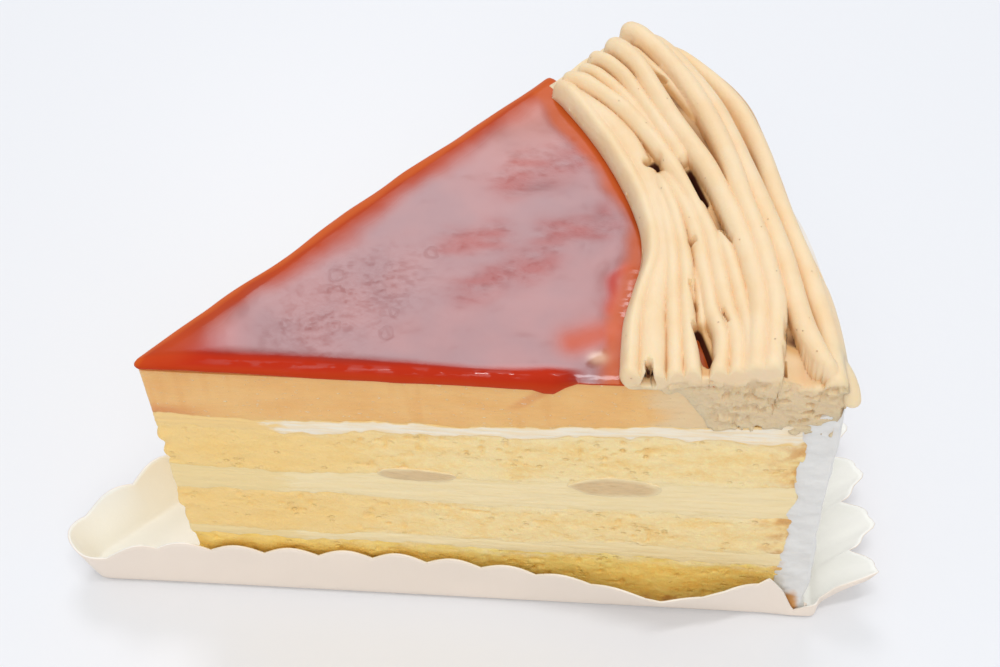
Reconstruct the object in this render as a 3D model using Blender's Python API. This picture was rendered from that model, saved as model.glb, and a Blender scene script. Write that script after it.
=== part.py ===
"""A wedge of layered chestnut shortcake standing in its pleated paper case.

Units are metres and +Z is up. The wedge's middle line runs along +X, with the
tip towards -X, and the origin is at the middle of the base of the whole.
Inside this script the wedge is drawn in polar form around its tip: r is the
distance from the tip, and a is the angle from the front cut towards the back
cut. One empty then carries every piece to the middle of the base.
"""

import math

import bmesh
import bpy
import numpy as np
from mathutils import Matrix, Vector

# Whole wedge
WEDGE_ANGLE = math.radians(46.9)
TIP_RADIUS = 0.0006
GAP = 0.0003
WEDGE_COLUMNS = 8
WEDGE_ROWS = 12

# Radii of the stacked layers, measured from the tip
SPONGE_RADIUS = 0.0882
BAVAROIS_RADIUS = 0.0750
COAT_RADIUS = 0.0924

# Heights of each layer's top as (radius, height) stations
PAPER_TOP = 0.0003
SPONGE_BOTTOM_TOP = ((0.0, 0.0148), (0.050, 0.0142), (0.088, 0.0134))
CREAM_LOWER_TOP = ((0.0, 0.0166), (0.050, 0.0168), (0.060, 0.0174), (0.088, 0.0166))
SPONGE_MIDDLE_TOP = ((0.0, 0.0268), (0.022, 0.0276), (0.036, 0.0262), (0.088, 0.0264))
CREAM_MIDDLE_TOP = ((0.0, 0.0328), (0.030, 0.0326), (0.050, 0.0329), (0.075, 0.0341), (0.088, 0.0343))
SPONGE_TOP_TOP = ((0.0, 0.0432), (0.020, 0.0420), (0.040, 0.0430), (0.062, 0.0443), (0.088, 0.0450))
CREAM_UPPER_TOP = ((0.0, 0.0452), (0.040, 0.0454), (0.062, 0.0468), (0.082, 0.0486), (0.088, 0.0504))
BAVAROIS_TOP = 0.0550
GLAZE_TOP = 0.0570
GLAZE_EDGE_TOP = 0.0558
GLAZE_EDGE_WIDTH = 0.0040
LAYER_WAVE = 0.0003
WAVE_LENGTH = 0.030
WAVE_TURNS = 6.0

# White coat of cream on the outer arc
COAT_INNER_TOP = 0.0512
COAT_OUTER_TOP = 0.0538

# Piped chestnut cream: each strand's distance from the tip at five even stations
# from the front cut to the back cut, how far it rides above the others, and the
# share of the way at which it ends
STRAND_RADIUS = 0.0016
STRAND_SIDES = 8
STRAND_POINTS = 15
STRANDS = (
    ((0.0648, 0.0671, 0.0716, 0.0731, 0.0745), 0.0, 0.965),
    ((0.0671, 0.0692, 0.0733, 0.0750, 0.0766), 0.0, 0.970),
    ((0.0695, 0.0714, 0.0750, 0.0770, 0.0786), 0.0, 0.965),
    ((0.0719, 0.0735, 0.0768, 0.0790, 0.0806), 0.0, 0.970),
    ((0.0743, 0.0757, 0.0786, 0.0808, 0.0826), 0.0, 0.965),
    ((0.0767, 0.0779, 0.0800, 0.0820, 0.0840), 0.0, 0.970),
    ((0.0792, 0.0803, 0.0806, 0.0807, 0.0800), 0.0014, 0.960),
    ((0.0817, 0.0825, 0.0827, 0.0848, 0.0866), 0.0016, 0.985),
    ((0.0840, 0.0840, 0.0842, 0.0864, 0.0872), 0.0, 0.960),
    ((0.0864, 0.0859, 0.0862, 0.0886, 0.0892), 0.0004, 0.945),
    ((0.0887, 0.0879, 0.0883, 0.0908, 0.0910), 0.0, 0.930),
    ((0.0908, 0.0899, 0.0903, 0.0928, 0.0926), 0.0006, 0.905),
)
STRAND_CENTRE = (
    (0.063, 0.0590), (0.073, 0.0591), (0.077, 0.0597), (0.081, 0.0604),
    (0.085, 0.0600), (0.088, 0.0588), (0.091, 0.0572), (0.093, 0.0562),
)
STRAND_START = 0.00015
STRAND_DROOP = 0.0006
DROOP_SHARE = 0.1
SHARP_ANGLE = math.radians(50.0)

# Bed of the same cream under the strands: its top, its rings over the bavarois'
# outer step, and how far it stays inside the innermost strand
BED_TOP = ((0.063, 0.0584), (0.075, 0.0586), (0.082, 0.0600), (0.087, 0.0588), (0.0902, 0.0572))
BED_RINGS = (0.079, 0.083, 0.087, 0.0902)
BED_INSET = 0.0005
HANGING_END = (
    (0.0915, 0.0032, 0.0576), (0.0921, 0.0014, 0.0574), (0.0925, 0.0002, 0.0566), (0.0927, -0.0005, 0.0551),
)
HANGING_END_RADIUS = 0.0012

# Slices of whole chestnut between the middle cream and the top sponge
CHESTNUT_HALF_SIZE = Vector((0.0060, 0.0055, 0.0019))
CHESTNUT_HEIGHT = 0.0329
FRONT_CHESTNUTS = (0.0358, 0.0628)
BACK_CHESTNUTS = (0.0470, 0.0700)
CHESTNUT_SETBACK = 0.0012
CHESTNUT_SEGMENTS = 14
CHESTNUT_RINGS = 8

# Paper case: the fold at the foot of its walls runs close to the front cut and
# the coat, and leaves bare floor behind the back cut and past the tip
PAPER_THICKNESS = 0.0003
FOLD_FRONT = 0.0006
FOLD_BACK = 0.0090
FOLD_RADIUS = 0.0938
FOLD_TIP_REACH = 0.0212
FOLD_TIP_ROUND = 0.0028
FOLD_BACK_CHAMFER = 0.0050
FOLD_EASE = 0.0012
FLOOR_RING = 0.0015
WALL_LENGTH = 0.0136
SCALLOP_PITCH = 0.0082
SCALLOP_DEPTH = 0.0019
SCALLOP_POINTS = 4
PLEAT_DEPTH = 0.0028
TIP_END_POINTS = 12
ARC_POINTS = 40
OUTLINE_DETAIL = 4

# Where the walls change from one side's tilt to the next, as (from, to): by
# distance inside the arc, by distance behind the front cut at the arc, by
# distance behind the front cut, and by distance beyond the tip
ARC_BLEND = (0.004, 0.001)
ARC_CORNER_BLEND = (0.0, 0.002)
FRONT_BLEND = (0.003, 0.0)
TIP_BLEND = (0.010, 0.016)

# Tilt of the walls away from upright, in degrees, and share of the full wall
# length, along the front wall by distance from the tip and then elsewhere
FRONT_TILT = (
    (-0.016, 12.0), (-0.004, 3.0), (0.031, 2.0), (0.040, 4.0), (0.050, 8.0),
    (0.060, 15.0), (0.0705, 25.0), (0.0795, 17.0), (0.086, 6.0),
)
FRONT_SHARE = ((-0.017, 0.62), (-0.007, 0.95), (0.0860, 1.0), (0.0885, 0.60), (0.0905, 0.12), (0.0930, 0.30))
TIP_TILT = 20.0
BACK_TILT = ((-0.010, 8.0), (0.015, 24.0), (0.060, 32.0))
ARC_TILT = 41.0
TIP_SHARE = 0.68
BACK_SHARE = 0.85
ARC_SHARE = 0.88


def material(name, colour, roughness):
    """One Principled material with a plain colour."""
    made = bpy.data.materials.new(name)
    made.use_nodes = True
    shader = made.node_tree.nodes["Principled BSDF"]
    shader.inputs["Base Color"].default_value = (*colour, 1.0)
    shader.inputs["Roughness"].default_value = roughness
    shader.inputs["Metallic"].default_value = 0.0
    made.diffuse_color = (*colour, 1.0)
    return made


def add_object(name, vertices, faces, look):
    """Make one mesh object at the wedge's tip from plain lists."""
    mesh = bpy.data.meshes.new(name)
    mesh.from_pydata([tuple(v) for v in vertices], [], [tuple(f) for f in faces])
    mesh.validate()
    mesh.materials.append(look)
    made = bpy.data.objects.new(name, mesh)
    bpy.context.scene.collection.objects.link(made)
    return made


def wave(r, a):
    """Gentle unevenness shared by all the layers, so neighbours keep their gap."""
    return LAYER_WAVE * np.sin(2.0 * math.pi * r / WAVE_LENGTH + 1.0) * np.cos(WAVE_TURNS * a)


def heights(stations):
    """Height of a layer's top as a function of r and a."""
    radii, values = zip(*stations)

    def height(r, a):
        return np.interp(r, radii, values) + wave(r, a)

    return height


def above(height):
    """The underside of the next layer, one gap above the layer below."""
    def raised(r, a):
        return height(r, a) + GAP

    return raised


def flat(value):
    """A level face at one height."""
    def height(r, a):
        return np.full_like(r, value)

    return height


def sheet_solid(name, r, a, low, high, look):
    """Closed solid between low(r, a) and high(r, a) over a grid of polar points.

    Rows run outwards from the tip and columns from the front cut to the back
    cut. The two faces are split into triangles alike.
    """
    rows, columns = r.shape
    x = r * np.cos(a)
    y = r * np.sin(a)
    bottom = np.stack((x, y, low(r, a)), axis=-1).reshape(-1, 3)
    top = np.stack((x, y, high(r, a)), axis=-1).reshape(-1, 3)
    count = rows * columns
    faces = []
    for i in range(rows - 1):
        for j in range(columns - 1):
            p = i * columns + j
            q = p + columns
            for one in ((p, q, q + 1), (p, q + 1, p + 1)):
                faces.append([v + count for v in one])
                faces.append(one[::-1])
    edge = list(range(columns))
    edge += [i * columns + columns - 1 for i in range(1, rows)]
    edge += [(rows - 1) * columns + j for j in range(columns - 2, -1, -1)]
    edge += [i * columns for i in range(rows - 2, 0, -1)]
    for k, p in enumerate(edge):
        q = edge[(k + 1) % len(edge)]
        faces.append((q, p, p + count, q + count))
    return add_object(name, np.concatenate((bottom, top)), faces, look)


def wedge_grid(outer, inner=TIP_RADIUS, rows=WEDGE_ROWS, angles=None):
    """Polar grid from the inner to the outer radius, between the two cuts."""
    if angles is None:
        angles = np.linspace(0.0, WEDGE_ANGLE, WEDGE_COLUMNS + 1)
    return np.meshgrid(np.linspace(inner, outer, rows + 1), angles, indexing="ij")


def make_layers():
    """The stacked sponges and creams, each one gap above the one below."""
    sponge = material("sponge", (0.86, 0.66, 0.30), 0.9)
    crust_sponge = material("bottom_sponge", (0.82, 0.55, 0.20), 0.9)
    cream = material("cream", (0.86, 0.78, 0.58), 0.6)
    white = material("white_cream", (0.88, 0.86, 0.80), 0.6)
    stack = (
        ("sponge_bottom", SPONGE_BOTTOM_TOP, crust_sponge),
        ("cream_lower", CREAM_LOWER_TOP, cream),
        ("sponge_middle", SPONGE_MIDDLE_TOP, sponge),
        ("cream_middle", CREAM_MIDDLE_TOP, cream),
        ("sponge_top", SPONGE_TOP_TOP, sponge),
        ("cream_upper", CREAM_UPPER_TOP, white),
    )
    low = flat(PAPER_TOP + GAP)
    layers = {}
    for name, stations, look in stack:
        high = heights(stations)
        layers[name] = sheet_solid(name, *wedge_grid(SPONGE_RADIUS), low, high, look)
        low = above(high)
    return layers


def make_bavarois():
    """The pale brown bavarois disc under the glaze."""
    look = material("bavarois", (0.72, 0.42, 0.16), 0.45)
    low = above(heights(CREAM_UPPER_TOP))
    return sheet_solid("bavarois", *wedge_grid(BAVAROIS_RADIUS), low, flat(BAVAROIS_TOP), look)


def make_glaze():
    """The caramel glaze, rounding down towards both cuts."""
    look = material("caramel_glaze", (0.55, 0.06, 0.02), 0.08)
    inset = np.array((0.0, 0.02, 0.05, 0.10, 0.20, 0.35))
    angles = WEDGE_ANGLE * np.concatenate((inset, (0.5,), 1.0 - inset[::-1]))

    def high(r, a):
        to_cut = r * np.sin(np.minimum(a, WEDGE_ANGLE - a))
        inward = np.clip(to_cut / GLAZE_EDGE_WIDTH, 0.0, 1.0)
        return GLAZE_EDGE_TOP + (GLAZE_TOP - GLAZE_EDGE_TOP) * np.sqrt(1.0 - (1.0 - inward) ** 2)

    grid = wedge_grid(BAVAROIS_RADIUS, angles=angles)
    return sheet_solid("caramel_glaze", *grid, flat(BAVAROIS_TOP + GAP), high, look)


def make_coat():
    """The white cream spread up the outer arc, higher on its outside."""
    look = material("coat_cream", (0.88, 0.87, 0.84), 0.6)
    inner = SPONGE_RADIUS + GAP

    def high(r, a):
        outward = (r - inner) / (COAT_RADIUS - inner)
        return COAT_INNER_TOP + (COAT_OUTER_TOP - COAT_INNER_TOP) * outward

    grid = wedge_grid(COAT_RADIUS, inner=inner, rows=2)
    return sheet_solid("cream_coat", *grid, flat(PAPER_TOP + GAP), high, look)


def smooth(values, t):
    """Catmull-Rom curve through evenly spaced values, for t from 0 to 1."""
    padded = np.concatenate(((2 * values[0] - values[1],), values, (2 * values[-1] - values[-2],)))
    place = np.clip(t, 0.0, 1.0) * (len(values) - 1)
    i = np.minimum(place.astype(int), len(values) - 2)
    u = place - i
    p0, p1, p2, p3 = (padded[i + k] for k in range(4))
    curve = 2 * p1 + (p2 - p0) * u + (2 * p0 - 5 * p1 + 4 * p2 - p3) * u ** 2
    return 0.5 * (curve + (3 * p1 - p0 - 3 * p2 + p3) * u ** 3)


def tube(name, path, radius, look):
    """Round bar along a path of points, with flat ends."""
    path = np.asarray(path)
    along = np.gradient(path, axis=0)
    along /= np.linalg.norm(along, axis=1, keepdims=True)
    side = np.cross(along, (0.0, 0.0, 1.0))
    side /= np.linalg.norm(side, axis=1, keepdims=True)
    up = np.cross(side, along)
    turn = np.linspace(0.0, 2.0 * math.pi, STRAND_SIDES, endpoint=False) + math.pi / STRAND_SIDES
    ring = radius * (np.cos(turn)[None, :, None] * side[:, None] + np.sin(turn)[None, :, None] * up[:, None])
    vertices = (path[:, None] + ring).reshape(-1, 3)
    faces = []
    for i in range(len(path) - 1):
        for k in range(STRAND_SIDES):
            p = i * STRAND_SIDES + k
            q = i * STRAND_SIDES + (k + 1) % STRAND_SIDES
            faces.append((p, p + STRAND_SIDES, q + STRAND_SIDES, q))
    faces.append(range(STRAND_SIDES))
    last = (len(path) - 1) * STRAND_SIDES
    faces.append(range(last + STRAND_SIDES - 1, last - 1, -1))
    return add_object(name, vertices, faces, look)


def strand_path(radii, lift, end):
    """Centre line of one piped strand, drooping a little at its back end."""
    t = np.linspace(0.0, end, STRAND_POINTS)
    r = smooth(np.array(radii), t)
    a = WEDGE_ANGLE * t - STRAND_START / STRAND_CENTRE[0][0]
    stations, centres = zip(*STRAND_CENTRE)
    droop = STRAND_DROOP * np.clip(1.0 - (end - t) / (DROOP_SHARE * end), 0.0, 1.0)
    z = np.interp(r, stations, centres) + lift * np.sin(math.pi * t) - droop
    return np.stack((r * np.cos(a), r * np.sin(a), z), axis=-1)


def keep_outer_shell(mesh):
    """Fill the hollows that fusing seals, by dropping all but the largest shell."""
    shape = bmesh.new()
    shape.from_mesh(mesh)
    left = set(shape.verts)
    shells = []
    while left:
        front = [left.pop()]
        shell = list(front)
        while front:
            near = [edge.other_vert(vert) for vert in front for edge in vert.link_edges]
            front = list(set(near) & left)
            left.difference_update(front)
            shell += front
        shells.append(shell)
    shells.sort(key=len)
    for shell in shells[:-1]:
        bmesh.ops.delete(shape, geom=shell, context="VERTS")
    shape.to_mesh(mesh)
    shape.free()


def make_piping():
    """The chestnut cream: a bed round the outer ring with the strands fused on."""
    look = material("chestnut_cream", (0.72, 0.50, 0.28), 0.6)
    angles = np.linspace(0.0, WEDGE_ANGLE, WEDGE_COLUMNS + 1)
    step = BAVAROIS_RADIUS + GAP
    outward = (step, step + GAP, *BED_RINGS)
    inner = smooth(np.array(STRANDS[0][0]), angles / WEDGE_ANGLE) + BED_INSET
    r = np.stack([inner] + [np.full_like(angles, value) for value in outward])
    a = np.tile(angles, (len(outward) + 1, 1))
    cream_top = above(heights(CREAM_UPPER_TOP))
    inner_coat = SPONGE_RADIUS + GAP

    def low(r, a):
        slope = (COAT_OUTER_TOP - COAT_INNER_TOP) / (COAT_RADIUS - inner_coat)
        on_coat = COAT_INNER_TOP + slope * (r - inner_coat) + GAP
        beyond = np.maximum(cream_top(r, a), on_coat)
        return np.where(r < step + 0.5 * GAP, GLAZE_TOP + GAP, beyond)

    bed = sheet_solid("chestnut_piping", r, a, low, heights(BED_TOP), look)
    strands = bpy.data.collections.new("strands")
    bpy.context.scene.collection.children.link(strands)
    pieces = [tube(f"strand_{k}", strand_path(*strand), STRAND_RADIUS, look)
              for k, strand in enumerate(STRANDS)]
    pieces.append(tube("strand_end", HANGING_END, HANGING_END_RADIUS, look))
    for piece in pieces:
        bpy.context.scene.collection.objects.unlink(piece)
        strands.objects.link(piece)
    union = bed.modifiers.new("strands", "BOOLEAN")
    union.operation = "UNION"
    union.operand_type = "COLLECTION"
    union.collection = strands
    union.solver = "EXACT"
    union.use_self = True
    fused = bpy.data.meshes.new_from_object(bed.evaluated_get(bpy.context.evaluated_depsgraph_get()))
    bed.modifiers.clear()
    keep_outer_shell(fused)
    fused.shade_smooth()
    fused.set_sharp_from_angle(angle=SHARP_ANGLE)
    bed.data = fused
    for piece in pieces:
        bpy.data.objects.remove(piece, do_unlink=True)
    bpy.data.collections.remove(strands)
    return bed


def chestnut_blob(name, distance, angle, grow, look):
    """Flattened ball of chestnut at a cut face, larger all round by grow."""
    blob = bmesh.new()
    bmesh.ops.create_uvsphere(blob, u_segments=CHESTNUT_SEGMENTS, v_segments=CHESTNUT_RINGS, radius=1.0)
    size = CHESTNUT_HALF_SIZE + Vector((grow, grow, grow))
    inward = Vector((-math.sin(angle), math.cos(angle), 0.0))
    if angle > 0.0:
        inward = -inward
    along = Vector((math.cos(angle), math.sin(angle), 0.0))
    centre = along * distance + inward * CHESTNUT_SETBACK + Vector((0.0, 0.0, CHESTNUT_HEIGHT))
    place = Matrix.Translation(centre) @ Matrix.Rotation(angle, 4, "Z") @ Matrix.Diagonal((*size, 1.0))
    bmesh.ops.transform(blob, matrix=place, verts=blob.verts)
    if grow == 0.0:
        every = blob.verts[:] + blob.edges[:] + blob.faces[:]
        cut = bmesh.ops.bisect_plane(blob, geom=every, plane_co=(0.0, 0.0, 0.0), plane_no=-inward,
                                     clear_outer=True)
        rim = [one for one in cut["geom_cut"] if isinstance(one, bmesh.types.BMEdge)]
        bmesh.ops.contextual_create(blob, geom=rim)
        bmesh.ops.recalc_face_normals(blob, faces=blob.faces)
    mesh = bpy.data.meshes.new(name)
    blob.to_mesh(mesh)
    blob.free()
    mesh.materials.append(look)
    made = bpy.data.objects.new(name, mesh)
    bpy.context.scene.collection.objects.link(made)
    return made


def make_chestnuts(layers):
    """Chestnut slices at both cuts, each in a hollow cut in its neighbours."""
    look = material("chestnut", (0.62, 0.45, 0.30), 0.55)
    places = [(distance, 0.0) for distance in FRONT_CHESTNUTS]
    places += [(distance, WEDGE_ANGLE) for distance in BACK_CHESTNUTS]
    slices = []
    for k, (distance, angle) in enumerate(places, start=1):
        slices.append(chestnut_blob(f"chestnut_slice_{k}", distance, angle, 0.0, look))
        hollow = chestnut_blob(f"hollow_{k}", distance, angle, GAP, look)
        hollow.hide_render = True
        hollow.display_type = "WIRE"
        for name in ("cream_middle", "sponge_top"):
            cut = layers[name].modifiers.new(f"hollow_{k}", "BOOLEAN")
            cut.operation = "DIFFERENCE"
            cut.solver = "EXACT"
            cut.object = hollow
        slices.append(hollow)
    return slices


def fold_corners():
    """Corners of the fold at the foot of the walls, with the tip end rounded."""
    tip = Vector((-FOLD_TIP_REACH, -FOLD_FRONT))
    first = -math.asin(FOLD_FRONT / FOLD_RADIUS)
    last = WEDGE_ANGLE + math.asin(FOLD_BACK / FOLD_RADIUS)
    far_back = Vector((math.cos(last), math.sin(last))) * FOLD_RADIUS
    back_line = (far_back - tip).normalized()
    opening = math.atan2(back_line.y, back_line.x)
    reach = FOLD_TIP_ROUND / math.sin(opening / 2.0)
    centre = tip + Vector((math.cos(opening / 2.0), math.sin(opening / 2.0))) * reach
    turn = np.linspace(opening + math.pi / 2.0, 1.5 * math.pi, TIP_END_POINTS)
    tip_end = [centre + Vector((math.cos(a), math.sin(a))) * FOLD_TIP_ROUND for a in turn]
    arc_angles = np.linspace(first, last - FOLD_BACK_CHAMFER / FOLD_RADIUS, ARC_POINTS)
    arc = [Vector((math.cos(a), math.sin(a))) * FOLD_RADIUS for a in arc_angles]
    return tip_end + arc + [far_back - back_line * FOLD_BACK_CHAMFER]


def even_outline(points, ease, spacing):
    """Closed outline with even spacing, its corners eased over a short run."""
    loop = np.array([tuple(p) for p in points])
    closed = np.vstack((loop, loop[:1]))
    run = np.concatenate(((0.0,), np.cumsum(np.linalg.norm(np.diff(closed, axis=0), axis=1))))
    count = int(round(run[-1] / spacing / SCALLOP_POINTS)) * SCALLOP_POINTS
    fine = np.linspace(0.0, run[-1], count * OUTLINE_DETAIL, endpoint=False)
    dense = np.stack([np.interp(fine, run, closed[:, k]) for k in range(2)], axis=-1)
    reach = max(1, int(ease / (run[-1] / len(fine))))
    kernel = np.hanning(2 * reach + 3)[1:-1]
    kernel /= kernel.sum()
    wrapped = np.concatenate((dense[-reach:], dense, dense[:reach]))
    eased = np.stack([np.convolve(wrapped[:, k], kernel, mode="valid") for k in range(2)], axis=-1)
    return eased[::OUTLINE_DETAIL]


def blend(value, low, high):
    """Smooth step from 0 at low to 1 at high, which may be the smaller."""
    t = np.clip((value - low) / (high - low), 0.0, 1.0)
    return t * t * (3.0 - 2.0 * t)


def make_paper():
    """The waxed paper case: a flat floor with scalloped walls, pleated round the arc."""
    look = material("waxed_paper", (0.86, 0.84, 0.79), 0.5)
    fold = even_outline(fold_corners(), FOLD_EASE, SCALLOP_PITCH / SCALLOP_POINTS)
    count = len(fold)
    along = np.roll(fold, -1, axis=0) - np.roll(fold, 1, axis=0)
    along /= np.linalg.norm(along, axis=1, keepdims=True)
    outward = np.stack((along[:, 1], -along[:, 0]), axis=-1)
    x, y = fold[:, 0], fold[:, 1]
    on_arc = blend(FOLD_RADIUS - np.hypot(x, y), *ARC_BLEND) * blend(y, *ARC_CORNER_BLEND)
    on_front = blend(y, *FRONT_BLEND) * (1.0 - on_arc)
    at_tip = blend(-x, *TIP_BLEND) * (1.0 - on_front)
    on_back = 1.0 - on_arc - on_front - at_tip
    front_tilt = np.interp(x, *zip(*FRONT_TILT))
    front_share = np.interp(x, *zip(*FRONT_SHARE))
    back_tilt = np.interp(x, *zip(*BACK_TILT))
    tilt = front_tilt * on_front + TIP_TILT * at_tip + back_tilt * on_back + ARC_TILT * on_arc
    share = front_share * on_front + TIP_SHARE * at_tip + BACK_SHARE * on_back + ARC_SHARE * on_arc
    scallop = np.abs(np.sin(math.pi * np.arange(count) / SCALLOP_POINTS))
    length = (WALL_LENGTH - SCALLOP_DEPTH * (1.0 - scallop)) * share
    lean = length * np.sin(np.radians(tilt))
    height = length * np.cos(np.radians(tilt))
    pleat = PLEAT_DEPTH * (scallop - 0.5) * on_arc
    inside = [np.column_stack((fold - outward * FLOOR_RING, np.full(count, PAPER_TOP)))]
    for up in (0.0, 0.5, 1.0):
        reach = (lean * up + pleat * up)[:, None]
        z = PAPER_TOP + (height - PAPER_TOP) * up
        inside.append(np.column_stack((fold + outward * reach, z)))
    sheet = np.array(inside)
    round_wall = np.roll(sheet, -1, axis=1) - np.roll(sheet, 1, axis=1)
    normal = np.cross(np.gradient(sheet, axis=0), round_wall)
    normal /= np.linalg.norm(normal, axis=2, keepdims=True)
    backing = sheet - normal * PAPER_THICKNESS
    backing[:2, :, 2] = 0.0
    outside = list(backing)
    rings = inside + outside[::-1]
    faces = [range(count), range(len(rings) * count - 1, (len(rings) - 1) * count - 1, -1)]
    for k in range(len(rings) - 1):
        for i in range(count):
            p = k * count + i
            q = k * count + (i + 1) % count
            if k < len(inside):
                faces += [(p, p + count, q + count), (p, q + count, q)]
            else:
                faces += [(p, p + count, q), (q, p + count, q + count)]
    return add_object("paper_case", np.concatenate(rings), faces, look)


def centre_on_base(pieces):
    """Turn the wedge's middle line to +X and put the origin under the middle."""
    turn = Matrix.Rotation(-WEDGE_ANGLE / 2.0, 4, "Z")
    corners = []
    for piece in pieces:
        corners += [turn @ vertex.co for vertex in piece.data.vertices]
    places = np.array(corners)
    middle = (places.min(axis=0) + places.max(axis=0)) / 2.0
    carrier = bpy.data.objects.new("wedge_tip", None)
    carrier.empty_display_size = 0.01
    bpy.context.scene.collection.objects.link(carrier)
    carrier.rotation_euler = (0.0, 0.0, -WEDGE_ANGLE / 2.0)
    carrier.location = (-middle[0], -middle[1], -places[:, 2].min())
    for piece in pieces:
        piece.parent = carrier


def main():
    for old in list(bpy.data.objects):
        bpy.data.objects.remove(old, do_unlink=True)
    paper = make_paper()
    layers = make_layers()
    pieces = [paper, *layers.values(), make_bavarois(), make_glaze(), make_coat(), make_piping()]
    pieces += make_chestnuts(layers)
    centre_on_base(pieces)


main()
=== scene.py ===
"""The looks of a chestnut shortcake slice in its pleated paper case.

Lengths are metres. Every piece is first worked out in cake coordinates: the tip
of the wedge is at (0, 0), the front cut runs along +X, and the back cut leaves
the tip at WEDGE_ANGLE. The function placed() then turns the middle line to +X
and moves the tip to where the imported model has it.
"""

import itertools
import math

import bmesh
import bpy
import numpy as np
from bpy.props import FloatProperty, FloatVectorProperty, PointerProperty
from mathutils import Matrix, Vector


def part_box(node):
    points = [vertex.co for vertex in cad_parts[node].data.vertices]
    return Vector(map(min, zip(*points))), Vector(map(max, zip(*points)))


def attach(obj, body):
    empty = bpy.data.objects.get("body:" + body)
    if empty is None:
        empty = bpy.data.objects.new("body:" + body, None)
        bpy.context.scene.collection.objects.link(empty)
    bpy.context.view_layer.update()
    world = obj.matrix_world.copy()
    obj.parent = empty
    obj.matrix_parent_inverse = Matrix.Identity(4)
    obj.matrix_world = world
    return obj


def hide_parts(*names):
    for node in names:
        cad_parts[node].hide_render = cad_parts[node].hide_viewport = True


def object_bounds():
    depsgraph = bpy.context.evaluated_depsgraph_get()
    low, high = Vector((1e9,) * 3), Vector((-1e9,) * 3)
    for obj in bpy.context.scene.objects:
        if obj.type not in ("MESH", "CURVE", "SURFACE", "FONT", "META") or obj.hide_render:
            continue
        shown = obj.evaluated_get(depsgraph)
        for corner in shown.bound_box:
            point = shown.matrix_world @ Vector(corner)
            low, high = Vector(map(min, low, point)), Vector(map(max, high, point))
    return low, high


bl_info = {
    "name": "Chestnut Shortcake Slice",
    "version": (1, 0, 0),
    "blender": (4, 5, 0),
    "location": "3D View > Sidebar > Shortcake",
    "description": "Builds the looks of one slice of chestnut shortcake in its paper case",
    "category": "Add Mesh",
}

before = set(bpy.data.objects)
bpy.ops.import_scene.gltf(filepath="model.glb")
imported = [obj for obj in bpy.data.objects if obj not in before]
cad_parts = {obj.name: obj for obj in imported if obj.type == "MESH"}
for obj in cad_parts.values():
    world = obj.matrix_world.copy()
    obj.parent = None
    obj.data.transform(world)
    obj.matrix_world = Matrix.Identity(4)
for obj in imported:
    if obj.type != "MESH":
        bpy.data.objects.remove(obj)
CAD_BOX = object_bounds()

# Wedge: its opening, the radii of its parts, and where its tip stands
WEDGE_ANGLE = math.radians(46.9)
HALF_ANGLE = WEDGE_ANGLE / 2.0
SPONGE_RADIUS = 0.0882
BAVAROIS_RADIUS = 0.0750
COAT_RADIUS = 0.0924
SPONGE_LOW, SPONGE_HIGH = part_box("sponge_bottom")
TIP = Vector((SPONGE_HIGH.x - SPONGE_RADIUS, (SPONGE_LOW.y + SPONGE_HIGH.y) / 2.0, 0.0))
# Roundness of its corners, and points of the outline in each corner and along each side. Edges sharper
# than SHARP_ANGLE stay sharp when a piece is shaded.
CORNER = 0.0006
SMALL_CORNER = 0.00005
CORNER_POINTS = 6
FRONT_POINTS = 300
BACK_POINTS = 170
ARC_POINTS = 40
SHARP_ANGLE = math.radians(50.0)

# Heights of the faces between the layers, by distance from the tip, and the height of their waves
PAPER_TOP = 0.0003
LAYER_GAP = 0.0002
LAYER_TOPS = {
    "sponge_bottom": ((0.0, 0.0148), (0.050, 0.0142), (0.088, 0.0134)),
    "cream_lower": ((0.0, 0.0166), (0.050, 0.0168), (0.060, 0.0174), (0.088, 0.0166)),
    "sponge_middle": ((0.0, 0.0268), (0.022, 0.0276), (0.036, 0.0262), (0.088, 0.0264)),
    "cream_middle": ((0.0, 0.0328), (0.030, 0.0326), (0.050, 0.0329), (0.075, 0.0341), (0.088, 0.0343)),
    "sponge_top": ((0.0, 0.0432), (0.020, 0.0420), (0.040, 0.0430), (0.062, 0.0443), (0.088, 0.0450)),
    "cream_upper": ((0.0, 0.0452), (0.040, 0.0454), (0.062, 0.0468), (0.082, 0.0486), (0.088, 0.0504)),
}
LAYER_WAVE = 0.0003
BAVAROIS_TOP = 0.0550
# Spot of browned skin at the bottom sponge's foot, along the cut and up: a line with its half width
FOOT_SPOT = ((0.0700, 0.0018), (0.0742, 0.0020), 0.0018)

# Glaze: its top, the half height of its bulging edge, how far that stands out of the cut, the inset of
# its last ring, and its lower edge along the front cut and elsewhere
GLAZE_TOP = 0.0570
GLAZE_RISE = 0.00045
GLAZE_OVERHANG = 0.00010
GLAZE_LAST_INSET = 0.0211
GLAZE_LIP = (
    (0.000, 0.0556), (0.012, 0.0556), (0.024, 0.0551), (0.048, 0.0550), (0.052, 0.0549),
    (0.0535, 0.0542), (0.0548, 0.0541), (0.0562, 0.0555), (0.0578, 0.0566), (0.064, 0.0567), (0.075, 0.0567),
)
GLAZE_BACK_LIP = 0.0554
# Spots on the glaze, each a line between two points with its half width: the bubble, the red patch beside
# it, the pool before the piping and its wet rim, and the crumpled skin
GLAZE_BUBBLE = ((0.0600, 0.0037), (0.0606, 0.0038), 0.0010)
GLAZE_PATCH = ((0.0570, 0.0062), (0.0622, 0.0084), 0.0022)
GLAZE_POOL = ((0.0614, 0.0122), (0.0634, 0.0192), 0.0011)
GLAZE_WET_RIM = ((0.0632, 0.0100), (0.0652, 0.0186), 0.0007)
GLAZE_CRUMPLE = ((0.0235, 0.0075), (0.0310, 0.0150), 0.0062)
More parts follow.
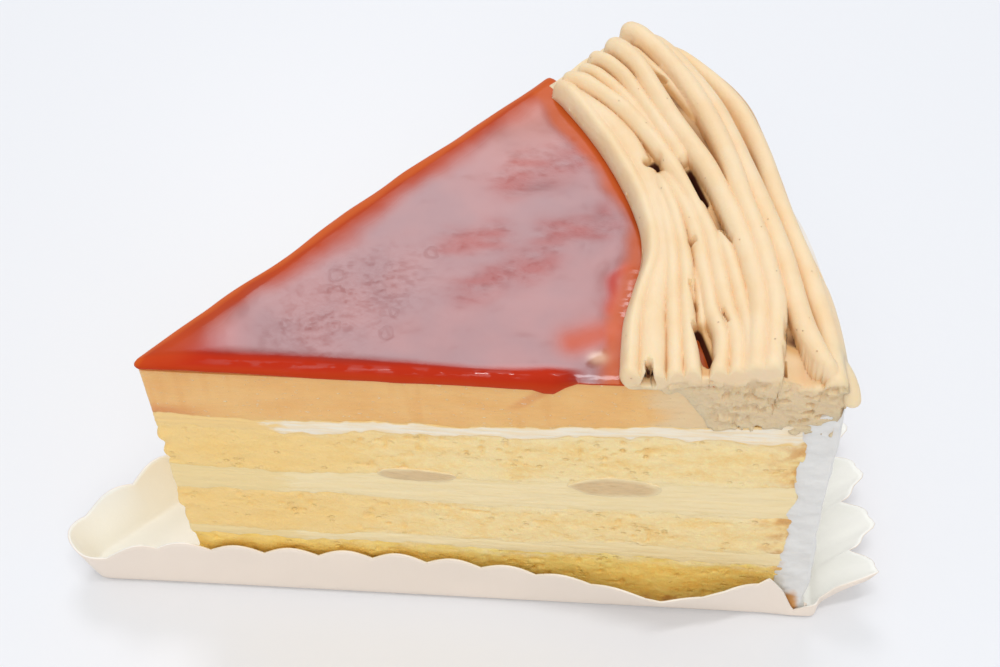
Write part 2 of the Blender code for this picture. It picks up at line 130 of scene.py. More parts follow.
# Dents in the glaze, the long marks first: start, end, half width and depth
GLAZE_MARKS = 4
GLAZE_DENTS = (
    ((0.0405, 0.0222), (0.0458, 0.0234), 0.0024, 0.00007),
    ((0.0434, 0.0134), (0.0520, 0.0196), 0.0027, 0.00009),
    ((0.0470, 0.0340), (0.0555, 0.0390), 0.0034, 0.00007),
    ((0.0536, 0.0250), (0.0606, 0.0270), 0.0026, 0.00011),
    ((0.0610, 0.0118), (0.0634, 0.0196), 0.0022, 0.00006),
    ((0.0562, 0.0064), (0.0612, 0.0086), 0.0028, 0.00007),
    ((0.0240, 0.0072), (0.0268, 0.0084), 0.0010, -0.00004),
    ((0.0628, 0.0100), (0.0648, 0.0186), 0.0010, -0.00009),
    (*GLAZE_BUBBLE, -0.00010),
)
# Rings left by bubbles in the glaze: centre and radius
GLAZE_RINGS = (
    ((0.0249, 0.0156), 0.0010), ((0.0253, 0.0124), 0.0011), ((0.0308, 0.0140), 0.0009),
    ((0.0232, 0.0069), 0.0007), ((0.0256, 0.0069), 0.0007), ((0.0327, 0.0063), 0.0008),
    ((0.0192, 0.0069), 0.0006), ((0.0372, 0.0201), 0.0007), ((0.0335, 0.0098), 0.0006),
)

# Piped strands: distance from the tip at each of the angles, lift above CREST at the front and at the
# back, and half width, all in millimetres, then first and last angle. Past its last angle a strand's
# distances only carry its curve on.
STRAND_DEGREES = (0.0, 4.0, 8.0, 12.0, 16.0, 20.0, 24.0, 28.0, 32.0, 36.0, 40.0, 44.0)
STRANDS = (
    ((64.3, 64.5, 65.2, 67.0, 69.3, 70.6, 71.2, 71.6, 72.0, 72.4, 72.8, 73.3), 0.0, 0.0, 1.40, -3.0, 44.6),
    ((67.2, 67.3, 67.7, 69.0, 70.9, 72.1, 72.9, 73.6, 74.1, 74.1, 73.3, 72.6), -0.1, -0.3, 1.80, -3.0, 44.0),
    ((70.1, 70.0, 70.3, 71.0, 72.0, 73.0, 73.6, 74.0, 74.2, 74.4, 74.6, 74.8), 0.0, 0.0, 1.15, -3.0, 26.0),
    ((72.1, 71.8, 72.0, 72.8, 73.4, 74.1, 74.6, 74.9, 75.0, 75.0, 75.0, 75.0), 0.2, 0.1, 1.10, -3.0, 27.0),
    ((73.8, 73.8, 73.9, 74.3, 75.0, 75.4, 75.6, 75.8, 76.0, 76.0, 76.0, 76.0), -0.8, -0.8, 0.85, 5.6, 15.8),
    ((75.4, 76.0, 75.1, 75.3, 75.9, 76.1, 76.0, 76.0, 76.0, 76.0, 76.0, 76.0), 0.2, 0.0, 1.15, -3.0, 27.2),
    ((77.5, 77.8, 77.1, 77.0, 77.5, 77.4, 77.3, 77.2, 77.1, 76.9, 76.2, 75.2), 0.1, 0.3, 1.25, -3.0, 44.8),
    ((77.6, 77.6, 77.6, 77.6, 77.6, 77.6, 77.6, 77.7, 78.0, 78.3, 78.3, 78.0), -0.3, -0.3, 1.15, 29.0, 44.8),
    ((79.0, 79.3, 79.1, 79.0, 78.8, 78.7, 78.7, 78.7, 78.7, 78.7, 78.7, 78.7), 0.1, 0.1, 1.10, -3.0, 17.6),
    ((79.0, 79.0, 79.0, 79.0, 79.0, 79.0, 79.0, 79.1, 79.2, 79.8, 80.5, 80.4), 0.3, 0.2, 1.15, 26.4, 44.9),
    ((80.0, 80.6, 81.2, 81.2, 81.1, 81.0, 81.0, 80.9, 81.1, 82.0, 83.0, 83.6), 0.7, 0.9, 1.40, -3.0, 44.8),
    ((81.7, 82.5, 83.3, 83.3, 83.3, 83.5, 84.2, 85.1, 86.1, 87.0, 87.6, 87.9), 0.8, 1.5, 1.40, -3.0, 45.6),
    ((85.0, 85.0, 85.0, 85.0, 85.0, 85.0, 85.0, 85.0, 85.0, 85.2, 85.4, 85.4), -0.9, -0.7, 1.10, 31.0, 44.4),
    ((89.6, 86.8, 85.9, 85.8, 85.6, 85.6, 86.0, 86.9, 88.0, 88.8, 89.3, 89.0), 0.9, 0.7, 1.50, 0.5, 44.0),
    ((90.4, 89.6, 89.0, 88.6, 88.3, 88.7, 89.8, 91.2, 92.3, 92.2, 91.0, 89.6), 0.2, 0.4, 1.50, -3.0, 42.0),
    ((91.3, 90.9, 90.5, 89.8, 89.4, 89.4, 89.4, 89.4, 89.4, 89.4, 89.4, 89.4), -0.2, -0.5, 1.15, -3.0, 12.0),
)
# Fall from a strand's crest to its side, and length of its rounded end
STRAND_TALL = 0.0017
STRAND_END_ROUND = 0.0015
# Heights of the strands' crests and of the bed below them, by distance from the tip
CREST = (
    (0.063, 0.0603), (0.068, 0.0605), (0.073, 0.0606), (0.077, 0.0611), (0.081, 0.0617),
    (0.084, 0.0616), (0.087, 0.0608), (0.089, 0.0600), (0.091, 0.0590), (0.093, 0.0580),
)
BED_TOP = (
    (0.063, 0.0586), (0.073, 0.0588), (0.079, 0.0594), (0.084, 0.0594), (0.088, 0.0580), (0.092, 0.0562),
)
# Inner and outer edges of the piping, in millimetres from the tip at the same angles as the strands
PIPING_INSIDE = (63.0, 63.2, 63.9, 65.7, 67.9, 69.2, 69.8, 70.2, 70.6, 71.0, 71.4, 71.9)
PIPING_OUTSIDE = (92.0, 91.8, 91.5, 90.9, 90.3, 90.7, 91.6, 92.8, 94.0, 93.8, 92.4, 90.8)
# Width of the rounded edges, the heights they come down to, how far the sides tuck in below, and the height
# of the underside on the glaze
PIPING_EDGE = 0.0014
PIPING_INSIDE_HEIGHT = 0.0583
PIPING_OUTSIDE_HEIGHT = 0.0573
TUCK_INSIDE = 0.0007
TUCK_OUTSIDE = 0.0012
PIPING_LOW = GLAZE_TOP - 0.0005
# Roundness of the front cut's edge, the angles of the first and last columns, and the softness of the creases
FRONT_ROUND = 0.0005
PIPING_FRONT = FRONT_ROUND / 0.078
PIPING_BACK = math.radians(45.7)
CREASE_BLEND = 0.00009
# Course and half thickness of the outermost strand's end, which hangs over the front cut
HANGING_END = (
    (0.0896, 0.0058, 0.0578), (0.0905, 0.0038, 0.0578), (0.0913, 0.0022, 0.0576),
    (0.0919, 0.0008, 0.0570), (0.0922, -0.0002, 0.0561), (0.0923, -0.0006, 0.0551),
)
HANGING_WIDE = 0.00112
HANGING_TALL = 0.00110
# Holes between the strands: distance and angle of both ends, half width and depth, in millimetres and degrees
PIPING_HOLES = (
    ((72.9, 5.5), (74.1, 1.8), 0.60, 2.7), ((83.5, 1.9), (83.6, 1.0), 0.34, 2.6),
    ((66.6, 0.9), (66.8, -0.8), 0.40, 2.6), ((74.6, 28.1), (75.7, 28.0), 0.66, 2.2),
    ((78.9, 25.4), (78.7, 21.2), 0.55, 3.0), ((74.7, 16.4), (75.1, 16.3), 0.34, 1.5),
    ((76.4, 7.2), (76.9, 5.8), 0.15, 1.1), ((79.1, 16.9), (79.7, 15.2), 0.22, 1.3),
    ((84.6, 38.2), (84.8, 37.0), 0.30, 0.9), ((83.9, 4.8), (83.6, 3.2), 0.22, 1.4),
    ((72.9, 11.0), (73.2, 8.0), 0.22, 0.7),
)

# Coat: heights of its top at its inner and outer faces, its rounding, and its gap above the paper
COAT_TOP_INSIDE, COAT_TOP_OUTSIDE = 0.0512, 0.0538
COAT_EASE = 0.0005
COAT_GAP = 0.0003

# Chestnut slices: how far the middle lies behind the cut and the half depth of all, then each one's
# distance along the cut, half length, half height, height, and whether it lies at the back cut
CHESTNUT_SINK = 0.0012
CHESTNUT_HALF_DEPTH = 0.0052
CHESTNUTS = {
    "chestnut_slice_1": (0.0358, 0.0060, 0.0014, 0.0331, False),
    "chestnut_slice_2": (0.0629, 0.0066, 0.0021, 0.0325, False),
    "chestnut_slice_3": (0.0470, 0.0060, 0.0018, 0.0329, True),
    "chestnut_slice_4": (0.0700, 0.0060, 0.0018, 0.0331, True),
}

# Paper case: its thickness, and the fold between its floor and walls, by distances from the front cut, the
# back cut and the tip, by the roundness of its corners and of the fold itself, and by the floor's inner rings
PAPER_THICKNESS = 0.0003
FOLD_FRONT = 0.0006
FOLD_BACK = 0.0090
FOLD_RADIUS = 0.0938
FOLD_TIP_REACH = 0.0212
FOLD_TIP_ROUND = 0.0028
FOLD_BACK_CHAMFER = 0.0050
FOLD_EASE = 0.0012
FOLD_ROUND = 0.0009
FLOOR_INSETS = (0.0018, 0.0013, FOLD_ROUND)
# Its walls: full length, scallops, pleats and creases, rows of the grid, and the gap kept inside the CAD box
WALL_LENGTH = 0.0136
SCALLOP_PITCH = 0.0082
SCALLOP_DEPTH = 0.0019
SCALLOP_POINTS = 16
PLEAT_DEPTH = 0.0028
CREASE_DEPTH = 0.00035
WALL_ROWS = 14
OUTLINE_DETAIL = 2
BOX_MARGIN = 0.0005
# Tilt outwards in degrees and share of the full length, by the distance along the cut where it changes
FRONT_TILT = (
    (-0.016, 12.0), (-0.004, 3.0), (0.031, 2.0), (0.040, 4.0), (0.050, 8.0),
    (0.060, 15.0), (0.0705, 25.0), (0.0795, 17.0), (0.086, 6.0),
)
FRONT_SHARE = (
    (-0.017, 0.62), (-0.007, 0.95), (0.0860, 1.0), (0.0885, 0.60), (0.0905, 0.12), (0.0930, 0.30),
)
BACK_TILT = ((-0.010, 8.0), (0.015, 24.0), (0.060, 32.0))
TIP_TILT = 20.0
ARC_TILT = 41.0
TIP_SHARE = 0.68
BACK_SHARE = 0.85
ARC_SHARE = 0.88
# Where one wall turns into the next: no part of it, and all of it
ARC_BLEND = (0.004, 0.001)
ARC_CORNER_BLEND = (0.0, 0.002)
FRONT_BLEND = (0.003, 0.0)
TIP_BLEND = (0.010, 0.016)

# Floor, camera and lights. Places are from the tip in the turned frame, the glint light's from GLAZE_MIDDLE.
FLOOR_REACH = 3.0
FLOOR_HEIGHT = -0.0002
CAMERA_PLACE = Vector((0.006855, -0.141592, 0.232814))
CAMERA_TARGET = Vector((0.059089, 0.029395, 0.0))
CAMERA_ROLL = math.radians(-2.682)
CAMERA_LENS = 61.81
SENSOR_WIDTH = 36.0
CAMERA_NEAR = 0.01
SKY_COLOUR = (0.95, 0.975, 1.0, 1.0)
GLAZE_MIDDLE = Vector((0.043, -0.001, GLAZE_TOP))
WINDOW_DISTANCE = 1.2
FILL_PLACE = Vector((-0.10, -0.52, 0.66))
GLINT_PLACE = Vector((0.0, -0.22, 1.10))


# Numbers on arrays

def linear(colour):
    """A screen colour, 0 to 255, as linear light, by the usual power curve."""
    share = np.array(colour) / 255.0
    return tuple(np.where(share <= 0.04045, share / 12.92, ((share + 0.055) / 1.055) ** 2.4).tolist())


def tinted(colour, red, green, blue):
    """A colour times one factor for each channel."""
    return tuple(c * f for c, f in zip(colour, (red, green, blue)))


def step(value, low, high):
    """Smooth step from 0 at low to 1 at high, which may be the smaller."""
    t = np.clip((value - low) / (high - low), 0.0, 1.0)
    return t * t * (3.0 - 2.0 * t)


def noise(x, y, z, size, seed):
    """Value noise from -1 to 1: random numbers on a lattice of cells, blended by smooth steps.

    The size is one length or three, so that cells can be stretched.
    """
    table = np.random.default_rng(seed).uniform(-1.0, 1.0, (32, 32, 32))
    place = np.stack(np.broadcast_arrays(x, y, z), axis=-1) / np.asarray(size) + 500.0
    cell = np.floor(place).astype(int)
    t = place - cell
    t = t * t * (3.0 - 2.0 * t)
    total = 0.0
    for corner in itertools.product((0, 1), repeat=3):
        weight = np.prod(np.where(corner, t, 1.0 - t), axis=-1)
        index = (cell + corner) % 32
        total = total + weight * table[index[..., 0], index[..., 1], index[..., 2]]
    return total


def layered_noise(x, y, z, size, seed):
    """Sum of three noises, each half as large and half as strong as the one before."""
    sizes = [np.asarray(size) * 0.5 ** octave for octave in range(3)]
    return sum(noise(x, y, z, one, seed + k) * 0.5 ** k for k, one in enumerate(sizes))


def curve(values, t):
    """Catmull-Rom curve through evenly spaced values, for t from 0 to 1."""
    values = np.asarray(values, float)
    padded = np.concatenate((2 * values[:1] - values[1:2], values, 2 * values[-1:] - values[-2:-1]))
    place = np.clip(t, 0.0, 1.0) * (len(values) - 1)
    i = np.minimum(place.astype(int), len(values) - 2)
    u = (place - i).reshape((-1,) + (1,) * (values.ndim - 1))
    p0, p1, p2, p3 = (padded[i + k] for k in range(4))
    return 0.5 * (2 * p1 + (p2 - p0) * u + (2 * p0 - 5 * p1 + 4 * p2 - p3) * u ** 2
                  + (3 * p1 - p0 - 3 * p2 + p3) * u ** 3)


def placed(x, y, z):
    """Cake coordinates turned by minus half the wedge's angle and moved to the tip's place."""
    c, s = math.cos(HALF_ANGLE), math.sin(HALF_ANGLE)
    x, y, z = np.broadcast_arrays(x, y, z)
    return np.stack((TIP.x + x * c + y * s, TIP.y - x * s + y * c, z), axis=-1)


def unplaced(points):
    """The cake coordinates x and y of points in the object's frame, the reverse of placed()."""
    c, s = math.cos(HALF_ANGLE), math.sin(HALF_ANGLE)
    x, y = points[:, 0] - TIP.x, points[:, 1] - TIP.y
    return x * c - y * s, x * s + y * c


# Outlines

def half_outline(radius, inset, cut_points, arc_points):
    """From the tip's middle along the front cut to the arc's middle, moved inwards by inset.

    The tip and the outer corner are round. Gives x, y and the outward normal.
    """
    corner = max(CORNER - inset, SMALL_CORNER)
    off_cut = inset + corner
    reach = radius - inset
    tip_x = off_cut / math.tan(HALF_ANGLE)
    end_x = math.sqrt((reach - corner) ** 2 - off_cut ** 2)
    first = math.atan2(off_cut, end_x)
    tip_turn = np.linspace(HALF_ANGLE + math.pi, 1.5 * math.pi, CORNER_POINTS, endpoint=False)
    cut_x = np.linspace(tip_x, end_x, cut_points, endpoint=False)
    end_turn = np.linspace(-0.5 * math.pi, first, CORNER_POINTS, endpoint=False)
    arc_turn = np.linspace(first, HALF_ANGLE, arc_points)
    flat = np.zeros(cut_points)
    x = np.concatenate((tip_x + corner * np.cos(tip_turn), cut_x, end_x + corner * np.cos(end_turn),
                        reach * np.cos(arc_turn)))
    y = np.concatenate((off_cut + corner * np.sin(tip_turn), flat + inset,
                        off_cut + corner * np.sin(end_turn), reach * np.sin(arc_turn)))
    normal_x = np.concatenate((np.cos(tip_turn), flat, np.cos(end_turn), np.cos(arc_turn)))
    normal_y = np.concatenate((np.sin(tip_turn), flat - 1.0, np.sin(end_turn), np.sin(arc_turn)))
    return np.stack((x, y, normal_x, normal_y))


def wedge_outline(radius, inset=0.0):
    """Closed outline of the wedge: front cut, arc and back cut, the back half a mirror image."""
    front = half_outline(radius, inset, FRONT_POINTS, ARC_POINTS)
    back = half_outline(radius, inset, BACK_POINTS, ARC_POINTS)[:, ::-1][:, 1:-1]
    c, s = math.cos(WEDGE_ANGLE), math.sin(WEDGE_ANGLE)
    mirrored = np.stack((back[0] * c + back[1] * s, back[0] * s - back[1] * c,
                         back[2] * c + back[3] * s, back[2] * s - back[3] * c))
    return np.concatenate((front, mirrored), axis=1)


# Meshes

def woven(grid):
    """Numbers of a grid's points, those of their neighbours one column on, and the faces between rows.

    The columns run round, so the last one joins the first.
    """
    index = np.arange(grid.shape[0] * grid.shape[1]).reshape(grid.shape[:2])
    onward = np.roll(index, -1, axis=1)
    quads = np.stack((index[:-1], onward[:-1], onward[1:], index[1:]), axis=-1).reshape(-1, 4)
    return index, onward, quads


def new_mesh(name, points, faces, values):
    """Mesh from points and faces. Values are named arrays, kept as vertex attributes."""
    mesh = bpy.data.meshes.new(name)
    mesh.from_pydata(points.tolist(), [], faces)
    for label, value in values.items():
        store(mesh, label, value)
    return mesh


def skin(name, grid, values):
    """Closed piece over a grid whose columns run round and whose end rows close on a middle point."""
    index, onward, quads = woven(grid)
    low_fan = np.stack((np.full_like(index[0], index.size), onward[0], index[0]), axis=-1)
    high_fan = np.stack((np.full_like(index[0], index.size + 1), index[-1], onward[-1]), axis=-1)
    points = np.concatenate((grid.reshape(-1, 3), grid[:1].mean(axis=1), grid[-1:].mean(axis=1)))
    kept = {label: np.concatenate((value.ravel(), (value[0].mean(), value[-1].mean())))
            for label, value in values.items()}
    return show(name, new_mesh(name, points, quads.tolist() + low_fan.tolist() + high_fan.tolist(), kept))


def store(mesh, label, value):
    """Keep one number for each vertex as an attribute."""
    layer = mesh.attributes.new(label, "FLOAT", "POINT")
    layer.data.foreach_set("value", np.ascontiguousarray(value, np.float32))


def show(name, mesh):
    """Link a smooth-shaded mesh to the scene as a new object."""
    mesh.shade_smooth()
    mesh.set_sharp_from_angle(angle=SHARP_ANGLE)
    made = bpy.data.objects.new(name, mesh)
    bpy.context.scene.collection.objects.link(made)
    return made


def finish_piece(piece, look, slot, *nodes):
    """Give a piece its material, hang it under the root body and hide the nodes it stands for."""
    piece.data.materials.clear()
    piece.data.materials.append(look)
    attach(piece, "root")
    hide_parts(*nodes)


# Materials

# Scattering of light in sponge and whipped cream, kept short so that the layers' edges don't show grey
THIN_SCATTER = {"subsurface_weight": 0.15, "subsurface_scale": 0.0008}


class Wire:
    """A node's output that can be used in sums: an operator adds a Math node."""

    def __init__(self, look, socket):
        self.look = look
        self.socket = socket

    def math(self, operation, first, second):
        """One Math node on two values."""
        return self.look.node("Math", {"operation": operation}, {0: first, 1: second})

    def __add__(self, other):
        return self.math("ADD", self, other)

    __radd__ = __add__

    def __sub__(self, other):
        return self.math("SUBTRACT", self, other)

    def __rsub__(self, other):
        return self.math("SUBTRACT", other, self)

    def __mul__(self, other):
        return self.math("MULTIPLY", self, other)

    __rmul__ = __mul__

    def between(self, low, high):
        """Smooth step from 0 at low to 1 at high."""
        return self.look.node("MapRange", {"interpolation_type": "SMOOTHSTEP"},
                              {"Value": self, "From Min": low, "From Max": high})


class Look:
    """One Principled material, with short names for the nodes that fill it."""

    def __init__(self, name, **fixed):
        self.material = bpy.data.materials.new(name)
        self.material.use_nodes = True
        self.tree = self.material.node_tree
        self.shader = self.tree.nodes["Principled BSDF"]
        for label, value in fixed.items():
            self.shader.inputs[label.replace("_", " ").title().replace("Ior", "IOR")].default_value = value

    def node(self, kind, settings=None, inputs=None, output=0):
        """Add a node, set its settings and then its inputs, and give one output."""
        made = self.tree.nodes.new("ShaderNode" + kind)
        for label, value in (settings or {}).items():
            setattr(made, label, value)
        for label, value in (inputs or {}).items():
            self.put(made.inputs[label], value)
        return Wire(self, made.outputs[output])

    def put(self, socket, value):
        """Link a wire to a socket, or set the socket's own value."""
        if isinstance(value, Wire):
            self.tree.links.new(value.socket, socket)
        elif hasattr(value, "__len__") and len(value) == 3 and socket.type == "RGBA":
            socket.default_value = (*value, 1.0)
        else:
            socket.default_value = value

    def cake(self, size):
        """Object coordinates turned so that X runs along the front cut, in cells of one size or three."""
        size = size if hasattr(size, "__len__") else (size, size, size)
        seen = self.node("TexCoord", output=3)
        turn = (0.0, 0.0, -HALF_ANGLE)
        return self.node("Mapping", {"vector_type": "TEXTURE"},
                         {"Vector": seen, "Location": TIP, "Rotation": turn, "Scale": size})

    def noise(self, size, detail=2.0, roughness=0.5, output=0):
        """Noise in cells of the given size, from 0 to 1: a number, or with output 1 three of them."""
        return self.node("TexNoise", None, {"Vector": self.cake(size), "Scale": 1.0, "Detail": detail,
                                            "Roughness": roughness}, output)

    def cells(self, size):
        """Distance to the nearest of a scatter of points, in cells of the given size."""
        return self.node("TexVoronoi", None, {"Vector": self.cake(size), "Scale": 1.0})

    def value(self, label):
        """A number kept on the mesh's vertices."""
        return self.node("Attribute", {"attribute_name": label}, output=2)

    def vector(self, operation, first, second, output=0):
        """One Vector Math node on two values."""
        return self.node("VectorMath", {"operation": operation}, {0: first, 1: second}, output)

    def mix(self, share, first, second):
        """Blend of two colours."""
        return self.node("Mix", {"data_type": "RGBA"}, {0: share, 6: first, 7: second}, output=2)

    def paint(self, colour, *layers):
        """Give the surface its colour, then lay others over it, each by its share."""
        for share, over in layers:
            colour = self.mix(share, colour, over)
        self.put(self.shader.inputs["Base Color"], colour)

    def rough(self, amount):
        """Give the surface its roughness."""
        self.put(self.shader.inputs["Roughness"], amount)

    def bump(self, height, distance):
        """Relief from a height in units of the given distance."""
        normal = self.node("Bump", None, {"Height": height, "Distance": distance, "Strength": 1.0})
        self.put(self.shader.inputs["Normal"], normal)


def sponge_look(name, colour, dark, colours):
    """Sponge: yellow crumb, paler and darker by patches, with small open pores painted darker as shade and
    browned outer ends.
    """
    look = Look(name, specular_ior_level=0.25, **THIN_SCATTER, subsurface_radius=(1.0, 0.7, 0.35))
    patches = look.noise((0.006, 0.006, 0.003), 3.0)
    crumb = look.noise(0.0009, 3.0, 0.65)
    pores = 1.0 - look.cells((0.0016, 0.0016, 0.0012)).between(0.10, 0.34)
    shaded_pores = pores * look.noise(0.004, 2.0).between(0.48, 0.60)
    dragged = look.value("edge") * look.noise((0.0040, 0.0040, 0.0012), 3.0).between(0.36, 0.62)
    browned = look.value("crust") * look.noise(0.0030, 3.0).between(0.40, 0.64)
    look.paint(
        colour,
        (patches.between(0.35, 0.7), dark),
        (crumb.between(0.42, 0.70) * 0.45, tuple(min(1.0, 1.12 * c + 0.02) for c in colour)),
        # Painted shade: pits and open pores, sunk into the crumb, are tinted darker and browner.
        (look.value("pit") * 0.42, tinted(dark, 0.96, 0.82, 0.54)),
        (shaded_pores * 0.26, tinted(dark, 0.94, 0.80, 0.54)),
        (dragged * 0.8, colours.cream),
        (look.value("warm") * 0.7, tinted(dark, 1.02, 0.98, 0.84)),
        (browned * 0.8, colours.crust),
    )
    look.rough(0.75 + 0.2 * crumb)
    look.bump(crumb + 0.6 * look.noise(0.0004, 2.0) - 1.2 * shaded_pores, 0.00018)
    return look.material


def cream_look(name, colour, dark):
    """Whipped cream smeared by the knife: soft, with faint drag lines along the cut."""
    look = Look(name, specular_ior_level=0.35, **THIN_SCATTER, subsurface_radius=(1.0, 0.8, 0.6))
    drag = look.noise((0.006, 0.006, 0.0006), 3.0)
    fleck = look.noise(0.0012, 3.0)
    stain = look.value("stain") + 0.8 * look.noise((0.0024, 0.0024, 0.0010), 3.0) - 0.4
    look.paint(colour, (drag.between(0.35, 0.70) * 0.5, dark), (stain.between(0.35, 0.62), dark))
    look.rough(0.45 + 0.3 * fleck)
    look.bump(drag + 0.5 * fleck, 0.00016)
    return look.material


def bavarois_look(settings):
    """Bavarois: a smooth moist set cream, finely scratched, with chestnut cream on its outer end."""
    look = Look("bavarois", subsurface_weight=0.2, subsurface_scale=0.0010, subsurface_radius=(1.0, 0.6, 0.3))
    colour = settings.bavarois
    cloud = look.noise((0.008, 0.008, 0.004), 2.0)
    scratch = look.noise((0.0030, 0.0030, 0.00018), 3.0, 0.6)
    knife = look.noise((0.0026, 0.0026, 0.020), 1.0)
    fleck = look.noise((0.0009, 0.0009, 0.0004), 2.0).between(0.63, 0.72)
    smear = look.value("smear") + 0.5 * look.noise((0.0035, 0.0035, 0.0012), 3.0) - 0.25
    look.paint(
        colour,
        (cloud.between(0.3, 0.7), tinted(colour, 1.04, 1.12, 1.25)),
        (knife.between(0.56, 0.72) * 0.30, tinted(colour, 0.92, 0.78, 0.6)),
        (look.value("stain") * (0.35 + 0.65 * cloud), settings.bavarois_stain),
        (fleck * 0.6, (1.0, 0.84, 0.58)),
        (smear.between(0.05, 0.95), tinted(settings.chestnut_torn, 1.20, 1.13, 1.02)),
    )
    look.rough(0.30 + 0.25 * scratch)
    look.bump(scratch + 0.8 * knife + 0.6 * fleck, 0.00012)
    return look.material


def bubble_rings(look):
    """Thin rings round GLAZE_RINGS, their outlines bent a little by noise: 1 on a ring, 0 away from it."""
    drift = look.vector("SUBTRACT", look.noise(0.0020, 1.0, output=1), (0.5, 0.5, 0.5))
    drift = look.node("VectorMath", {"operation": "SCALE"}, {0: drift, "Scale": 0.0016})
    place = look.vector("ADD", look.cake(1.0), drift)
    rings = 0.0
    for centre, radius in GLAZE_RINGS:
        gap = look.vector("DISTANCE", place, (*centre, GLAZE_TOP), output=1) - radius
        rings = rings + (1.0 - look.node("Math", {"operation": "ABSOLUTE"}, {0: gap}).between(0.0, 0.00036))
    return rings


def glaze_look(settings):
    """Caramel glaze: deep red where thick, orange where it thins at its rims, under a clear gloss."""
    look = Look("caramel_glaze", specular_ior_level=0.10, coat_roughness=0.13, coat_ior=1.55)
    dull, pucker = look.value("dull"), look.value("pucker")
    wrinkle = look.noise((0.0016, 0.0011, 0.0014), 3.0, 0.6)
    rings = bubble_rings(look)
    look.paint(
        settings.glaze_deep,
        (look.noise(0.009, 2.0).between(0.35, 0.65), tinted(settings.glaze_deep, 1.3, 2.6, 2.2)),
        (look.value("band"), settings.glaze_red),
        (look.value("thin"), settings.glaze_rim),
        (look.value("pale"), (0.80, 0.52, 0.36)),
    )
    look.rough(0.10 + 0.45 * dull)
    shine = 1.0 - dull * (0.80 + 0.4 * look.noise(0.0024, 3.0))
    shine = shine - 0.34 * pucker * wrinkle.between(0.50, 0.64) - 0.10 * rings
    shine = look.node("Clamp", None, {"Value": shine, "Min": 0.0, "Max": 1.0})
    glint = look.value("wet") * look.noise((0.0024, 0.0007, 0.0020), 2.0).between(0.50, 0.57)
    look.put(look.shader.inputs["Coat Weight"], shine + glint)
    look.bump(look.noise(0.0045, 2.0) + pucker * wrinkle + 0.22 * rings, 0.00024)
    return look.material


def piping_look(settings):
    """Chestnut cream: smooth pale caramel, tiny dark specks, torn and greyer at the cut, painted shade in
    creases and holes.
    """
    look = Look("chestnut_cream", specular_ior_level=0.4, subsurface_weight=0.3, subsurface_scale=0.003,
                subsurface_radius=(1.0, 0.65, 0.35))
    colour = settings.chestnut_cream
    grain = look.noise(0.0007, 2.0)
    rag = look.noise(0.0022, 3.0)
    crease_shade, torn = look.value("crease_shade"), look.value("torn")
    speck = (1.0 - look.cells(0.0021).between(0.040, 0.070)) * look.noise(0.004, 1.0).between(0.46, 0.56)
    look.paint(
        colour,
        (look.noise(0.006, 3.0).between(0.35, 0.70), tinted(colour, 0.98, 0.93, 0.86)),
        # Painted shade: creases between the strands are tinted browner and darker, and the deepest creases
        # and holes nearly black-brown, which also stands for the dark glaze at their bottom.
        (crease_shade.between(0.05, 0.45), tinted(colour, 0.82, 0.66, 0.46)),
        (crease_shade.between(0.50, 0.70), (0.10, 0.025, 0.012)),
        (torn * (0.55 + 0.45 * rag), settings.chestnut_torn),
        (torn * look.noise(0.0014, 3.0).between(0.58, 0.68) * 0.4, (0.56, 0.36, 0.16)),
        (speck * 0.40, (0.42, 0.24, 0.12)),
    )
    look.rough(0.46 + 0.16 * grain)
    look.bump(0.30 * grain - 0.5 * speck + torn * (1.2 * rag + 0.8 * grain), 0.00022)
    return look.material


def coat_look(settings):
    """The white cream coat: the white cream painted darker and cooler as shade, with the soft ridges a
    palette knife leaves.
    """
    look = Look("coat_cream", specular_ior_level=0.35, **THIN_SCATTER, subsurface_radius=(1.0, 0.9, 0.8))
    drag = look.noise((0.006, 0.006, 0.003), 3.0)
    # Painted shade: the white cream darkened by about a tenth and made a little cooler for the coat.
    colour = tinted(settings.white_cream, 0.90, 0.91, 0.925)
    stain = look.value("stain") + 0.5 * look.noise(0.0026, 3.0) - 0.25
    look.paint(colour, (drag.between(0.35, 0.70), tinted(colour, 0.96, 0.96, 0.96)),
               (stain.between(0.35, 0.75), settings.crust))
    look.rough(0.45 + 0.2 * drag)
    look.bump(drag + 0.3 * look.noise(0.0009, 2.0), 0.00032)
    return look.material


def chestnut_look(settings):
    """Cut chestnut: greyish beige with browner spots and fine short fibres, its rim fading into the cream."""
    look = Look("chestnut", subsurface_weight=0.2, subsurface_scale=0.002, subsurface_radius=(1.0, 0.7, 0.45))
    colour = settings.chestnut
    fibre = look.noise((0.0016, 0.0016, 0.0004), 3.0)
    spot = look.noise((0.0030, 0.0030, 0.0012), 3.0).between(0.58, 0.68)
    look.paint(
        colour,
        (fibre.between(0.35, 0.70), tinted(colour, 0.92, 0.92, 0.92)),
        (spot * 0.35, tinted(colour, 0.80, 0.66, 0.48)),
        (look.value("rim") * 0.75, settings.cream),
    )
    look.rough(0.5 + 0.2 * fibre)
    look.bump(fibre, 0.00010)
    return look.material


def paper_look(settings):
    """Waxed paper: nearly white and smooth, with a faint fibre; its outer face is painted darker and warmer
    as shade, its inner face whiter.
    """
    look = Look("waxed_paper", coat_weight=0.15, coat_roughness=0.35)
    fibre = look.noise(0.0011, 4.0, 0.7)
    look.paint(
        settings.paper,
        (look.noise(0.018, 2.0).between(0.35, 0.65), tinted(settings.paper, 0.97, 0.97, 0.97)),
        # Painted light and shade: the inner face gets a whiter colour than the outer face of the same sheet.
        (look.value("inside"), settings.paper_inside),
    )
    look.rough(0.42 + 0.14 * fibre)
    look.bump(fibre, 0.00004)
    return look.material


# Layers

